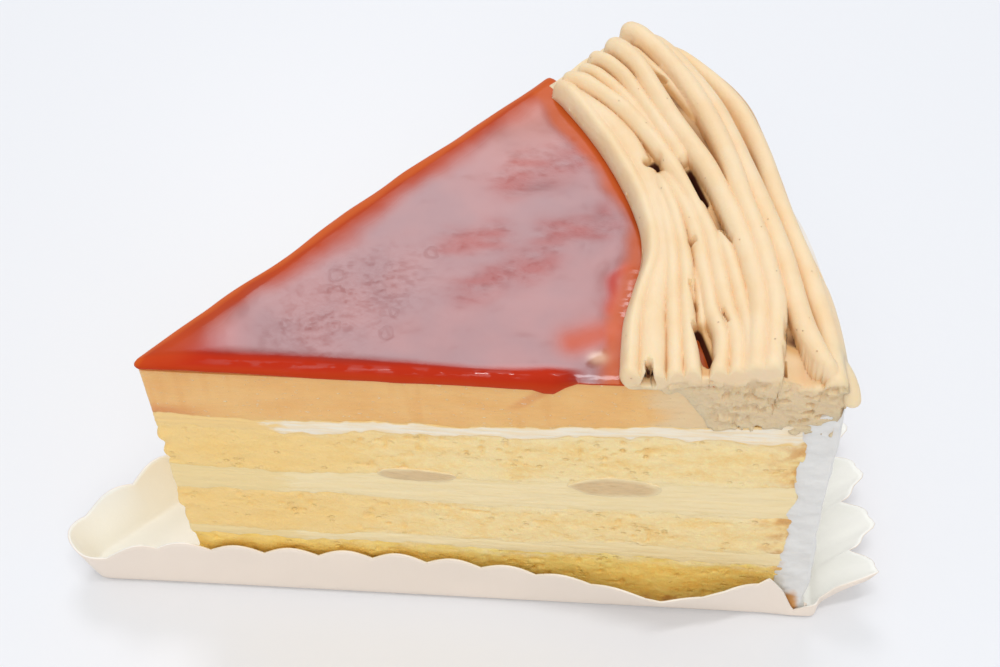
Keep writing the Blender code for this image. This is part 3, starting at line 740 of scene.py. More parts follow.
def layer_face(name, x, y):
    """Height of a layer's top: stations by distance from the tip, a gentle wave, and ragged noise."""
    radius, angle = np.hypot(x, y), np.arctan2(y, x)
    stations, heights = zip(*LAYER_TOPS[name])
    gentle = LAYER_WAVE * np.sin(2.0 * math.pi * radius / 0.030 + 1.0) * np.cos(6.0 * angle)
    seed = 20 + list(LAYER_TOPS).index(name)
    rough = 1.7 if name == "sponge_top" else 1.0
    ragged = 0.00030 * rough * noise(x, y, 0.0, 0.0026, seed)
    ragged = ragged + 0.00018 * rough * noise(x, y, 0.0, 0.0009, seed + 10)
    return np.interp(radius, stations, heights) + gentle + ragged


def top_of(name):
    """Rule for the height of a layer's top, or of the paper where no layer is named."""
    def face(x, y):
        return layer_face(name, x, y) if name else np.full_like(x, PAPER_TOP + LAYER_GAP)

    return face


def slab(name, radius, low, high, row_height, relief, values):
    """Solid wedge between two heights: rows climb the outline, each point moved out by the relief.

    The relief and the named values are functions of x, y, z and the share of the way up.
    """
    x, y, normal_x, normal_y = wedge_outline(radius)
    bottom, top = low(x, y), high(x, y)
    rows = max(4, int(np.max(top - bottom) / row_height))
    up = np.linspace(0.0, 1.0, rows + 1)[:, None]
    z = bottom + (top - bottom) * up
    x, y, normal_x, normal_y, up = (np.broadcast_to(one, z.shape) for one in (x, y, normal_x, normal_y, up))
    out = relief(x, y, z, up)
    kept = {label: np.clip(rule(x, y, z, up), 0.0, 1.0) for label, rule in values.items()}
    return skin(name, placed(x + normal_x * out, y + normal_y * out, z), kept)


def pits(x, y, z, up):
    """Open pores of the crumb, from 0 to 1: the high end of a fine noise, where a wide one allows it."""
    fine = noise(x, y, z, (0.0011, 0.0011, 0.0009), 61)
    patch = noise(x, y, z, 0.0060, 62)
    return step(fine, 0.34, 0.80) * step(patch, -0.4, 0.5)


def crumb_relief(depth):
    """Rule for sponge cut by a knife: uneven crumb, open pores, edges drawn in, and a ragged tip."""
    def relief(x, y, z, up):
        from_edge = np.minimum(up, 1.0 - up)
        rough = 0.55 * layered_noise(x, y, z, 0.0022, 41) + 0.30 * noise(x, y, z, 0.0070, 44)
        crumb = depth * step(from_edge, 0.0, 0.06) * (rough - 1.4 * pits(x, y, z, up))
        ragged = 0.00055 * step(np.hypot(x, y), 0.0040, 0.0010) * (noise(0.0, 0.0, z, 0.0021, 45) - 0.2)
        return crumb + ragged * step(from_edge, 0.0, 0.12)

    return relief


def cream_relief(depth):
    """Rule for cream drawn along the cut: low streaks, bulging a little between the sponges."""
    def relief(x, y, z, up):
        streak = noise(x, y, z, (0.0060, 0.0060, 0.0010), 51) + 0.4 * noise(x, y, z, 0.0015, 52)
        return depth * (0.6 * streak + 0.5) * step(np.minimum(up, 1.0 - up), 0.0, 0.25)

    return relief


def warm_end(x, y, z, up):
    """Richer yellow of the crumb towards the tip."""
    return step(np.hypot(x, y) + 0.004 * noise(x, y, z, 0.006, 46), 0.046, 0.014)


def outer_crust(x, y, z, up):
    """Browned rim of a sponge, from 0 to 1, next to the coat."""
    radius = np.hypot(x, y) + 0.0016 * noise(x, y, z, 0.003, 71)
    return step(radius, SPONGE_RADIUS - 0.0060, SPONGE_RADIUS - 0.0006)


def bottom_crust(x, y, z, up):
    """Browned rim, and a spot of browned skin at the foot."""
    foot = 1.4 * near_line(x, z, *FOOT_SPOT) * step(y, 0.004, 0.001)
    return np.maximum(outer_crust(x, y, z, up), foot)


def layer_edge(x, y, z, up):
    """Closeness to a layer's upper or lower edge, where the knife dragged cream over it."""
    return step(np.minimum(up, 1.0 - up), 0.20, 0.0)


def stain_and_shade(edge_share, edge_reach, shade_share):
    """Rule for where a cream is thin over crumb, at the tip and along its own edges, and for painted shade
    towards the coat.
    """
    def rule(x, y, z, up):
        edge = edge_share * step(np.minimum(up, 1.0 - up), edge_reach, 0.0)
        # Painted shade: darker towards the coat's end of the cut.
        outer = shade_share * step(x, 0.060, 0.078)
        return np.maximum.reduce((step(np.hypot(x, y), 0.026, 0.008), edge, outer))

    return rule


# Bavarois and glaze

def bavarois_face(x, y):
    """Top of the bavarois, raised to the glaze's thin edge near the piping."""
    radius = np.hypot(x, y)
    return BAVAROIS_TOP + 0.0014 * step(radius, 0.0556, 0.0580)


def bavarois_relief(x, y, z, up):
    """Nearly flat cut with faint upright knife marks and short scratches."""
    marks = noise(x, y, 0.0, 0.0028, 81)
    scratches = noise(x, y, z, (0.0030, 0.0030, 0.0003), 82)
    return 0.00007 * marks + 0.00003 * scratches


def tip_stain(x, y, z, up):
    """Caramel that ran down at the tip, under the glaze's edge and in one slanting drip."""
    at_tip = step(np.hypot(x, y), 0.011, 0.002) * step(z, 0.0485, 0.0460)
    under = 0.25 * step(up, 0.90, 1.0)
    drip = step(np.abs(x - 0.0495 - 0.9 * (z - 0.0500)), 0.0016, 0.0004)
    drip = drip * step(z, 0.0490, 0.0515) * (y < 0.002)
    return np.maximum.reduce((at_tip, under, 0.6 * drip))


def chestnut_smear(x, y, z, up):
    """Chestnut cream drawn over the bavarois' outer end by the knife."""
    return step(np.hypot(x, y) + 0.0016 * noise(x, y, z, (0.004, 0.004, 0.0015), 83), 0.0640, 0.0725)


def near_line(x, y, start, end, width, power=2.0):
    """Bell-shaped weight round a line between two points, flatter and steeper for a greater power."""
    start, end = np.array(start), np.array(end)
    along = end - start
    share = np.clip(((x - start[0]) * along[0] + (y - start[1]) * along[1]) / (along @ along), 0.0, 1.0)
    gap = np.hypot(x - start[0] - share * along[0], y - start[1] - share * along[1])
    return np.exp(-(gap / width) ** power)


def warped(x, y):
    """Places moved by up to a millimetre in a random flow, so that dents get uneven outlines."""
    return x + 0.0010 * noise(x, y, 0.0, 0.0034, 96), y + 0.0010 * noise(x, y, 0.0, 0.0034, 97)


def glaze_marks(x, y):
    """The long marks among the dents as one weight from 0 to 1."""
    place = warped(x, y)
    marks = sum(near_line(*place, *dent[:3]) for dent in GLAZE_DENTS[:GLAZE_MARKS])
    return np.clip(marks, 0.0, 1.0)


def glaze_face(x, y):
    """Top of the glaze inside its rounded edge: long swells, dents and bubble rings."""
    height = GLAZE_TOP + 0.00014 * noise(x, y, 0.0, 0.013, 91) + 0.00005 * noise(x, y, 0.0, 0.0050, 92)
    x, y = warped(x, y)
    for start, end, width, depth in GLAZE_DENTS:
        height = height - depth * near_line(x, y, start, end, width)
    for centre, radius in GLAZE_RINGS:
        gap = np.hypot(x - centre[0], y - centre[1]) - radius
        height = height + 0.000016 * np.exp(-(gap / 0.00030) ** 2)
    return height


def glaze_values(x, y, inward):
    """Red band along the edges, thinness, and dullness, each from 0 to 1."""
    radius, angle = np.hypot(x, y), np.arctan2(y, x)
    wavy = 0.0011 * noise(x, y, 0.0, 0.0090, 94) + 0.0004 * noise(x, y, 0.0, 0.0030, 95)
    from_back = x * math.sin(WEDGE_ANGLE) - y * math.cos(WEDGE_ANGLE)
    from_piping = by_angle(PIPING_INSIDE, angle) - radius
    from_front = y + 0.4 * wavy
    corner = step(radius, 0.050, 0.074) * step(angle, 0.55, 0.80)
    patch = near_line(x, y, *GLAZE_PATCH)
    pool = near_line(*warped(x, y), *GLAZE_POOL)
    streaks = 0.7 + 0.6 * noise(x, y, 0.0, (0.0030, 0.0012, 1.0), 98)
    marks = np.clip(glaze_marks(x, y) * streaks, 0.0, 1.0)
    back = step(from_back + 1.3 * wavy, 0.0054, 0.0006)
    band = np.maximum.reduce((
        step(from_front, 0.0027, 0.0009) * step(radius, 0.0600, 0.0540),
        0.60 * back,
        0.80 * step(radius + wavy, 0.0180, 0.0060),
        0.38 * marks,
        0.90 * pool,
        0.80 * patch,
    ))
    thin = np.maximum.reduce((
        0.16 * step(inward, 0.30, 0.0),
        0.80 * step(from_back + 0.4 * wavy, 0.0016, 0.0003),
        0.70 * step(from_piping + wavy, 0.0034, 0.0006),
        0.40 * patch,
        0.5 * corner,
        0.30 * back,
    ))
    front_reach = np.interp(x, (0.0, 0.030, 0.050), (0.0040, 0.0032, 0.0022))
    dull = np.maximum.reduce((
        0.90 * back,
        step(from_front, front_reach, 0.0011) * step(radius, 0.0600, 0.0560),
        0.80 * step(from_piping + wavy, 0.0040, 0.0008),
        0.3 * corner,
        0.85 * step(radius, 0.0140, 0.0060),
        0.40 * marks,
        0.80 * pool,
        0.70 * patch,
    ))
    return band, thin, dull


def glaze_ripple(outline):
    """How far the glaze's edge wanders out: in waves along the back cut, and drawn in under the piping."""
    x, y, normal_x, normal_y = outline
    on_back = step(normal_y * math.cos(WEDGE_ANGLE) - normal_x * math.sin(WEDGE_ANGLE), 0.5, 0.9)
    wave = 0.00025 + 0.00045 * noise(x, y, 0.0, 0.0085, 99)
    under = step(-normal_y, 0.5, 0.9) * step(x, 0.0655, 0.0672)
    return wave * on_back - 0.00075 * under


def make_glaze(settings):
    """Glaze: its edge is a rounded bulge carried round the outline, its top a stack of shrinking outlines.

    A point at an angle t on the bulge is out by bulge * cos t and up by GLAZE_RISE * sin t from the bulge's
    middle. Past the bulge each ring lies further in, at the height of glaze_face().
    """
    outline = wedge_outline(BAVAROIS_RADIUS)
    x, y, normal_x, normal_y = outline
    on_front = normal_y < -0.5
    lip = np.where(on_front, np.interp(x, *zip(*GLAZE_LIP)), GLAZE_BACK_LIP)
    lip = lip + 0.00012 * noise(x, y, 0.0, 0.0035, 93)
    waist = lip + GLAZE_RISE
    reach = settings.glaze_round * (1.0 - 0.45 * step(np.hypot(x, y), 0.020, 0.050))
    ripple = glaze_ripple(outline)
    rows, band, thin, dull = [], [], [], []
    for row, turn in enumerate(np.linspace(-0.5 * math.pi, 0.0, 5)):
        out = GLAZE_OVERHANG + settings.glaze_bulge * math.cos(turn) + ripple
        rows.append(placed(x + normal_x * out, y + normal_y * out, lip + GLAZE_RISE * (1.0 + math.sin(turn))))
        band.append(np.ones_like(lip))
        thin.append(np.where(on_front, 0.40, 1.0) - 0.05 * row)
        dull.append(np.ones_like(lip))
    insets = np.concatenate((settings.glaze_round * np.linspace(0.0, 1.0, 20)[1:] ** 1.3,
                             np.linspace(settings.glaze_round, GLAZE_LAST_INSET, 56)[1:]))
    for inset in insets:
        ring = wedge_outline(BAVAROIS_RADIUS, inset)
        x, y, normal_x, normal_y = ring
        inward = np.clip(inset / reach, 0.0, 1.0)
        bulge = (settings.glaze_bulge + GLAZE_OVERHANG + glaze_ripple(ring)) * (1.0 - inward) ** 2
        height = waist + (glaze_face(x, y) - waist) * end_round(inward, 1.0)
        rows.append(placed(x + normal_x * bulge, y + normal_y * bulge, height))
        for values, value in zip((band, thin, dull), glaze_values(x, y, inward)):
            values.append(value)
    grid = np.stack(rows)
    x, y = (one.reshape(grid.shape[:2]) for one in unplaced(grid.reshape(-1, 3)))
    front_line = step(np.abs(y - 0.0007), 0.0005, 0.0002) * step(x, 0.008, 0.012)
    crumpled = near_line(x, y, *GLAZE_CRUMPLE) + 0.7 * glaze_marks(x, y)
    return skin("caramel_glaze_surface", grid, {
        "band": np.stack(band),
        "thin": np.stack(thin),
        "dull": np.stack(dull),
        "wet": np.maximum(front_line, near_line(x, y, *GLAZE_WET_RIM)),
        "pale": 0.75 * near_line(x, y, *GLAZE_BUBBLE),
        "pucker": np.clip(crumpled, 0.0, 1.0),
    })


# Piping

def by_angle(distances, angle):
    """Distance from the tip at an angle, a smooth curve through its stations, from millimetres."""
    share = np.clip(np.asarray(angle) / math.radians(STRAND_DEGREES[-1]), 0.0, 1.0)
    return curve(distances, share.ravel()).reshape(share.shape) * 0.001


def end_round(left, length):
    """Quarter circle: 0 at the end, 1 from the given length on."""
    return np.sqrt(1.0 - (1.0 - np.clip(left / length, 0.0, 1.0)) ** 2)


def back_fall(radius, angle):
    """How far the piping sinks towards its back end."""
    return 0.0018 * step((PIPING_BACK - angle) * radius, 0.0045, 0.0005)


def bed_height(radius, angle):
    """Top of the bed, which falls away to its inner edge and back end, with a crater at the front cut."""
    z = np.interp(radius, *zip(*BED_TOP))
    z = z - 0.0012 * step(radius - by_angle(PIPING_INSIDE, angle), 0.0016, 0.0)
    z = z - back_fall(radius, angle)
    crater = step(radius, 0.0822, 0.0842) * step(radius, 0.0885, 0.0860) * step(angle, 0.060, 0.020)
    return z - 0.0014 * crater + 0.00020 * noise(radius, angle * 0.08, 0.0, 0.0025, 100)


def piping_height(radius, angle):
    """Top of the piping: the highest of the bed and all strands, blended softly, with the holes sunk in.

    A strand's height is its crest less STRAND_TALL * (1 - sqrt(1 - q)), where q is the square of the way
    across plus the square of the way into its rounded end.
    """
    base = 0.057
    total = np.exp((bed_height(radius, angle) - base) / CREASE_BLEND)
    x, y = radius * np.cos(angle), radius * np.sin(angle)
    along = angle * 0.08
    for index, (distances, lift_front, lift_back, wide, first, last) in enumerate(STRANDS):
        centre = by_angle(distances, angle) + 0.00016 * noise(along, index * 0.01, 0.0, 0.0070, 101)
        lift = lift_front + (lift_back - lift_front) * angle / WEDGE_ANGLE
        left = (math.radians(last) - angle) * centre
        gone = (angle - math.radians(first)) * centre
        crest = np.interp(centre, *zip(*CREST)) + 0.001 * lift - 0.0010 * step(left, 0.0040, 0.0)
        crest = crest + 0.00014 * noise(along, index * 0.01, 0.01, 0.0050, 102)
        wide = 0.001 * wide * (1.0 + 0.07 * noise(along, index * 0.01, 0.02, 0.0060, 103))
        into_end = 1.0 - np.clip(np.minimum(left, gone) / STRAND_END_ROUND, 0.0, 1.0)
        q = ((radius - centre) / wide) ** 2 + into_end ** 2
        z = crest - STRAND_TALL * (1.0 - np.sqrt(np.clip(1.0 - q, 0.0, 1.0)))
        total = total + np.where(q < 1.0, np.exp((z - base) / CREASE_BLEND), 0.0)
    z = base + CREASE_BLEND * np.log(total)
    for start, end, width, depth in PIPING_HOLES:
        ends = [(0.001 * r * math.cos(math.radians(a)), 0.001 * r * math.sin(math.radians(a)))
                for r, a in (start, end)]
        z = z - 0.001 * depth * near_line(x, y, *ends, 0.001 * width, 4.0)
    return z + 0.00003 * noise(x, y, 0.0, 0.0016, 104)


def on_coat(radius, angle):
    """Underside of the piping: the glaze, and past it the upper cream and the coat."""
    cream = layer_face("cream_upper", radius * np.cos(angle), radius * np.sin(angle))
    coat = COAT_TOP_INSIDE + (COAT_TOP_OUTSIDE - COAT_TOP_INSIDE) * (radius - 0.0885) / 0.0039
    outer = np.maximum(cream, np.minimum(coat, COAT_TOP_OUTSIDE)) + 0.0001
    return np.where(radius < BAVAROIS_RADIUS - 0.0006, PIPING_LOW, outer)


def zipped(name, grid, values):
    """Closed piece over a grid whose columns run round and whose end rows fold onto themselves."""
    quads = woven(grid)[2]
    kept = {label: value.ravel() for label, value in values.items()}
    mesh = new_mesh(name, grid.reshape(-1, 3), quads.tolist(), kept)
    shell = bmesh.new()
    shell.from_mesh(mesh)
    bmesh.ops.remove_doubles(shell, verts=shell.verts, dist=1e-7)
    bmesh.ops.recalc_face_normals(shell, faces=shell.faces)
    shell.to_mesh(mesh)
    shell.free()
    return show(name, mesh)


def piping_top():
    """Top of the piping in rows from its inner edge to its outer one, with both sides turned down.

    Gives the distance from the tip, the angle, the height and the groove depth from 0 to 1, which sets
    painted shade.
    """
    across = np.linspace(0.0, 1.0, 206)[:, None]
    along = np.linspace(0.0, 1.0, 150)[None, :]
    angle = PIPING_FRONT + (PIPING_BACK - PIPING_FRONT) * along + 0.0 * across
    low_r, high_r = by_angle(PIPING_INSIDE, angle), by_angle(PIPING_OUTSIDE, angle)
    radius = low_r + (high_r - low_r) * across
    z = piping_height(radius, angle)
    deep = np.interp(radius, *zip(*CREST)) + 0.0002 - z - 0.0006
    crater = step(radius, 0.0826, 0.0836) * step(radius, 0.0900, 0.0870) * step(angle, 0.070, 0.040)
    crease_shade = np.clip(deep / 0.0030, 0.0, 1.0) * (1.0 - 0.8 * crater) * step(radius, 0.0905, 0.0880)
    crease_shade = crease_shade * step((PIPING_BACK - angle) * radius, 0.0015, 0.0050)
    crease_shade = crease_shade * step(radius - low_r, 0.0007, 0.0018)
    fall = back_fall(radius, angle)
    for height, left in ((PIPING_INSIDE_HEIGHT, radius - low_r), (PIPING_OUTSIDE_HEIGHT, high_r - radius)):
        edge = end_round(left, PIPING_EDGE)
        z = (height - fall) * (1.0 - edge) + z * edge
    turn = np.linspace(0.0, 0.5 * math.pi, 9)[1:, None]
    inner_r = low_r[:1] + TUCK_INSIDE * (1.0 - np.cos(turn))
    inner_z = z[:1] + (PIPING_LOW - z[:1]) * np.sin(turn)
    outer_r = high_r[:1] - TUCK_OUTSIDE * (1.0 - np.cos(turn))
    floor = on_coat(high_r[:1] - TUCK_OUTSIDE, angle[:1])
    outer_z = z[-1:] + (floor - z[-1:]) * np.sin(turn)
    radius = np.concatenate((inner_r[::-1], radius, outer_r))
    z = np.concatenate((inner_z[::-1], z, outer_z))
    crease_shade = np.concatenate((0.0 * inner_r, crease_shade, 0.0 * outer_r))
    return radius, np.broadcast_to(angle[:1], radius.shape), z, crease_shade


def piping_under(radius, angle, z):
    """Underside of the piping below its top: on the glaze and the coat, and lower at the torn front cut."""
    share = np.linspace(0.0, 1.0, len(radius))[:, None]
    under_r = radius[:1] + (radius[-1:] - radius[:1]) * share
    under_z = on_coat(under_r, angle)
    lip = np.interp(under_r, (0.0680, 0.0705, 0.0725, 0.0745), (0.0566, 0.0548, 0.0515, 0.0480))
    lip = lip + 0.0012 * noise(under_r, 0.0, 0.0, 0.0021, 117)
    under_z = under_z + np.minimum(lip - under_z, 0.0) * step(angle, 0.030, PIPING_FRONT)
    under_z[0], under_z[-1] = z[0], z[-1]
    return np.stack((under_r * np.cos(angle), under_r * np.sin(angle), under_z), axis=-1)


def make_piping():
    """Piped chestnut cream as one body, from its top, its underside and its cuts at the front and back.

    Each row of the grid stands at one share of the way from the inner edge to the outer one, and runs along
    the top to the back, down, forwards along the underside and up the front cut.
    """
    radius, angle, z, crease_shade = piping_top()
    top = np.stack((radius * np.cos(angle), radius * np.sin(angle), z), axis=-1)
    under = piping_under(radius, angle, z)[:, ::-1]
    down = np.linspace(0.0, 1.0, 14)[None, 1:-1, None]
    back = top[:, -1:] + (under[:, :1] - top[:, -1:]) * down
    up = np.linspace(0.0, 1.0, 46)[None, 1:-1, None]
    cut = under[:, -1:] + (top[:, :1] - under[:, -1:]) * up
    cut, torn, hole = carve_cut(cut, top[:, :1, 2])
    under[1:-1, -1, 1] = cut[1:-1, 0, 1]
    grid = np.concatenate((top, back, under, cut), axis=1)
    # Painted shade: the groove depth on the top and the holes in the cut set how dark the colour is painted
    # there.
    hollow_shade = np.zeros(grid.shape[:2])
    hollow_shade[:, :top.shape[1]] = crease_shade
    hollow_shade[:, -cut.shape[1]:] = 0.75 * hole
    tear = np.zeros(grid.shape[:2])
    tear[:, -cut.shape[1]:] = torn
    piece = zipped("chestnut_cream_piping", placed(*np.moveaxis(grid, -1, 0))[:, ::-1],
                   {"crease_shade": hollow_shade[:, ::-1], "torn": tear[:, ::-1]})
    add_hanging_end(piece)
    return piece


def tube(path, wide, tall):
    """Bar round a path: an ellipse of half width and half height, square to the path."""
    along = np.gradient(path, axis=0)
    along /= np.linalg.norm(along, axis=1, keepdims=True)
    across = np.cross(along, (0.0, 0.0, 1.0))
    across /= np.linalg.norm(across, axis=1, keepdims=True)
    above = np.cross(across, along)
    turn = np.linspace(0.0, 2.0 * math.pi, 22, endpoint=False)
    ring = across[:, None] * (wide[:, None] * np.cos(turn))[..., None]
    ring = ring + above[:, None] * (tall[:, None] * np.sin(turn))[..., None]
    return path[:, None] + ring


def add_hanging_end(piece):
    """The end of the outermost strand, which hangs over the front cut, as a tube with a round tip."""
    share = np.linspace(0.0, 1.0, 30)
    thick = end_round(1.0 - share + 0.01, 0.18)
    grid = tube(curve(HANGING_END, share), HANGING_WIDE * thick, HANGING_TALL * thick)[::-1]
    none = np.zeros(grid.shape[:2])
    end = skin("hanging_end", placed(*np.moveaxis(grid, -1, 0)), {"crease_shade": none, "torn": none})
    both = bmesh.new()
    both.from_mesh(piece.data)
    both.from_mesh(end.data)
    both.to_mesh(piece.data)
    both.free()
    bpy.data.objects.remove(end)


def carve_cut(cut, top):
    """Front cut of the piping: a rounded upper edge, flat ends of the strands, and torn pits lower down.

    The edge is a quarter circle: at a depth d below the top the cut stands back by
    e - sqrt(e^2 - (e - d)^2). Gives the cut, and where it is torn and hollow.
    """
    x, z = cut[..., 0], cut[..., 2]
    beside = step(x, 0.0765, 0.0740) * step(z, 0.0574, 0.0560)
    overhang = 0.00032 * step(x, 0.0705, 0.0690) + 0.00022 - 0.00006 * beside
    edge = FRONT_ROUND + overhang
    back_by = edge * (1.0 - end_round(top - z, edge))
    tear_line = np.interp(x, (0.068, 0.070, 0.074, 0.080, 0.085, 0.089),
                          (0.0560, 0.0573, 0.0577, 0.0586, 0.0588, 0.0576))
    ragged = 0.0012 * noise(x, 0.0, 0.0, 0.0030, 111) + 0.0007 * noise(x, 0.0, z, 0.0014, 115)
    torn = step(z - tear_line + ragged, 0.0010, -0.0010)
    grain = noise(x, 0.0, z, (0.0015, 1.0, 0.0008), 112) + 0.4 * noise(x, 0.0, z, 0.0006, 118)
    pit = step(grain, 0.12, 0.62)
    rag = layered_noise(x, 0.0, z, (0.0024, 1.0, 0.0012), 114)
    relief = torn * (0.00055 * pit - 0.00022 * rag - 0.00010) * (1.0 - 0.93 * beside)
    thin_out = step(z - z[:, :1], 0.0008, 0.0) * step(x, 0.0752, 0.0738) * step(x, 0.0675, 0.0690)
    cut = cut.copy()
    cut[..., 1] = back_by - overhang + relief + 0.00050 * thin_out
    cut[0, :, 1] = cut[-1, :, 1] = 0.5 * FRONT_ROUND
    hole = step(np.abs(x - 0.0667) - 0.25 * (0.0590 - z), 0.0007, 0.0003) * step(z, 0.0601, 0.0594)
    hole = hole * step(z, 0.0571, 0.0576)
    cut[..., 1] += 0.0016 * hole
    return cut, torn, hole


# Coat, chestnuts and paper

def make_coat():
    """Coat: a thin block along the arc, its outer face drawn round by the palette knife.

    Its outline runs out along the front cut, round the arc, in along the back cut and back inside.
    """
    inner, outer = SPONGE_RADIUS - 0.0002, COAT_RADIUS
    lean = COAT_EASE / outer
    turn = np.linspace(0.0, 0.5 * math.pi, 5)[1:]
    out_along = inner + (outer - COAT_EASE - inner) * np.linspace(0.0, 1.0, 26)
    near = np.concatenate((out_along, outer - COAT_EASE + COAT_EASE * np.sin(turn)))
    near_angle = np.concatenate((np.zeros_like(out_along), lean * (1.0 - np.cos(turn))))
    arc = np.linspace(lean, WEDGE_ANGLE - lean, 190)[1:-1]
    back = np.linspace(WEDGE_ANGLE, 0.0, 60)[1:-1]
    radius = np.concatenate((near, np.full_like(arc, outer), near[::-1], np.full_like(back, inner)))
    angle = np.concatenate((near_angle, arc, WEDGE_ANGLE - near_angle[::-1], back))
    x, y = radius * np.cos(angle), radius * np.sin(angle)
    on_arc = step(radius, outer - 0.0010, outer - 0.0002)
    at_cut = angle < 0.01
    top = COAT_TOP_INSIDE + (COAT_TOP_OUTSIDE - COAT_TOP_INSIDE) * (radius - inner) / (outer - inner)
    top = top + 0.0004 * noise(x, y, 0.0, 0.0035, 121)
    bottom = PAPER_TOP + COAT_GAP
    z = bottom + (top - bottom) * np.linspace(0.0, 1.0, 130)[:, None]
    drag = noise(0.0, angle * outer, z, (1.0, 0.0130, 0.0045), 122)
    drag = drag + 0.4 * noise(0.0, angle * outer, z, (1.0, 0.0050, 0.0020), 123)
    smear = -0.00016 - 0.00022 * layered_noise(x, y, z, (0.0030, 0.0030, 0.0020), 124)
    smear = smear * (1.0 - on_arc) * at_cut * step(radius, inner, inner + 0.0004)
    edge = 0.0006 * noise(0.0, 0.0, z, 0.0045, 125) + 0.0004 * noise(0.0, 0.0, z, 0.0014, 126) - 0.0005
    radius = radius + 0.00030 * (drag - 1.2) * on_arc + edge * (at_cut & (radius < inner + 0.0003))
    x = radius * np.cos(angle)
    y = radius * np.sin(angle) + smear
    foot = 0.85 * step(z, 0.0115, 0.0025) * step(y, 0.006, 0.002) * step(radius, 0.0928, 0.0898)
    crumbs = 0.40 * step(radius, inner + 0.0014, inner - 0.0002) * at_cut
    return skin("cream_coat_spread", placed(x, y, z), {"stain": np.maximum(foot, crumbs)})


def make_chestnut(name):
    """Slice of chestnut: a flattened ball, uneven, with the cut's plane as a flat face.

    A point at latitude u and longitude v is centre + half sizes * (cos u cos v, cos u sin v, sin u).
    """
    distance, half_length, half_height, height, at_back = CHESTNUTS[name]
    u = np.linspace(-0.5 * math.pi, 0.5 * math.pi, 41)[1:-1, None]
    v = np.linspace(0.0, 2.0 * math.pi, 80, endpoint=False)[None, :]
    x = distance + half_length * np.cos(u) * np.cos(v)
    y = CHESTNUT_SINK + CHESTNUT_HALF_DEPTH * np.cos(u) * np.sin(v)
    z = height + half_height * np.sin(u) + 0.0 * v
    x = x + 0.00060 * noise(x, y, z, 0.0030, 131)
    z = z + 0.00045 * noise(x, y, z, 0.0026, 132)
    rim = step(np.sin(u) ** 2 + ((x - distance) / half_length) ** 2, 0.55, 1.0)
    y = np.maximum(y, -0.00016 + 0.00008 * noise(x, y, z, 0.0012, 133))
    if at_back:
        c, s = math.cos(WEDGE_ANGLE), math.sin(WEDGE_ANGLE)
        x, y, z, rim = (one[:, ::-1] for one in (x * c + y * s, x * s - y * c, z, rim))
    return skin(name + "_cut", placed(x, y, z), {"rim": rim})


def fold_line():
    """Closed line at the foot of the paper's walls, evenly spaced, its corners eased."""
    tip = Vector((-FOLD_TIP_REACH, -FOLD_FRONT))
    first = -math.asin(FOLD_FRONT / FOLD_RADIUS)
    last = WEDGE_ANGLE + math.asin(FOLD_BACK / FOLD_RADIUS)
    far_back = Vector((math.cos(last), math.sin(last))) * FOLD_RADIUS
    back_line = (far_back - tip).normalized()
    opening = math.atan2(back_line.y, back_line.x)
    reach = FOLD_TIP_ROUND / math.sin(opening / 2.0)
    centre = tip + Vector((math.cos(opening / 2.0), math.sin(opening / 2.0))) * reach
    turn = np.linspace(opening + math.pi / 2.0, 1.5 * math.pi, 24)
    tip_end = np.array(centre) + FOLD_TIP_ROUND * np.stack((np.cos(turn), np.sin(turn)), axis=-1)
    arc = np.linspace(first, last - FOLD_BACK_CHAMFER / FOLD_RADIUS, 120)
    arc_end = FOLD_RADIUS * np.stack((np.cos(arc), np.sin(arc)), axis=-1)
    chamfer = np.array([far_back - back_line * FOLD_BACK_CHAMFER])
    loop = np.concatenate((tip_end, arc_end, chamfer))
    closed = np.vstack((loop, loop[:1]))
    run = np.concatenate(((0.0,), np.cumsum(np.linalg.norm(np.diff(closed, axis=0), axis=1))))
    count = int(round(run[-1] / SCALLOP_PITCH)) * SCALLOP_POINTS
    fine = np.linspace(0.0, run[-1], count * OUTLINE_DETAIL, endpoint=False)
    dense = np.stack([np.interp(fine, run, closed[:, k]) for k in range(2)], axis=-1)
    ease = max(1, int(FOLD_EASE / (run[-1] / len(fine))))
    kernel = np.hanning(2 * ease + 3)[1:-1]
    kernel /= kernel.sum()
    wrapped = np.concatenate((dense[-ease:], dense, dense[:ease]))
    eased = np.stack([np.convolve(wrapped[:, k], kernel, mode="valid") for k in range(2)], axis=-1)
    return eased[::OUTLINE_DETAIL]


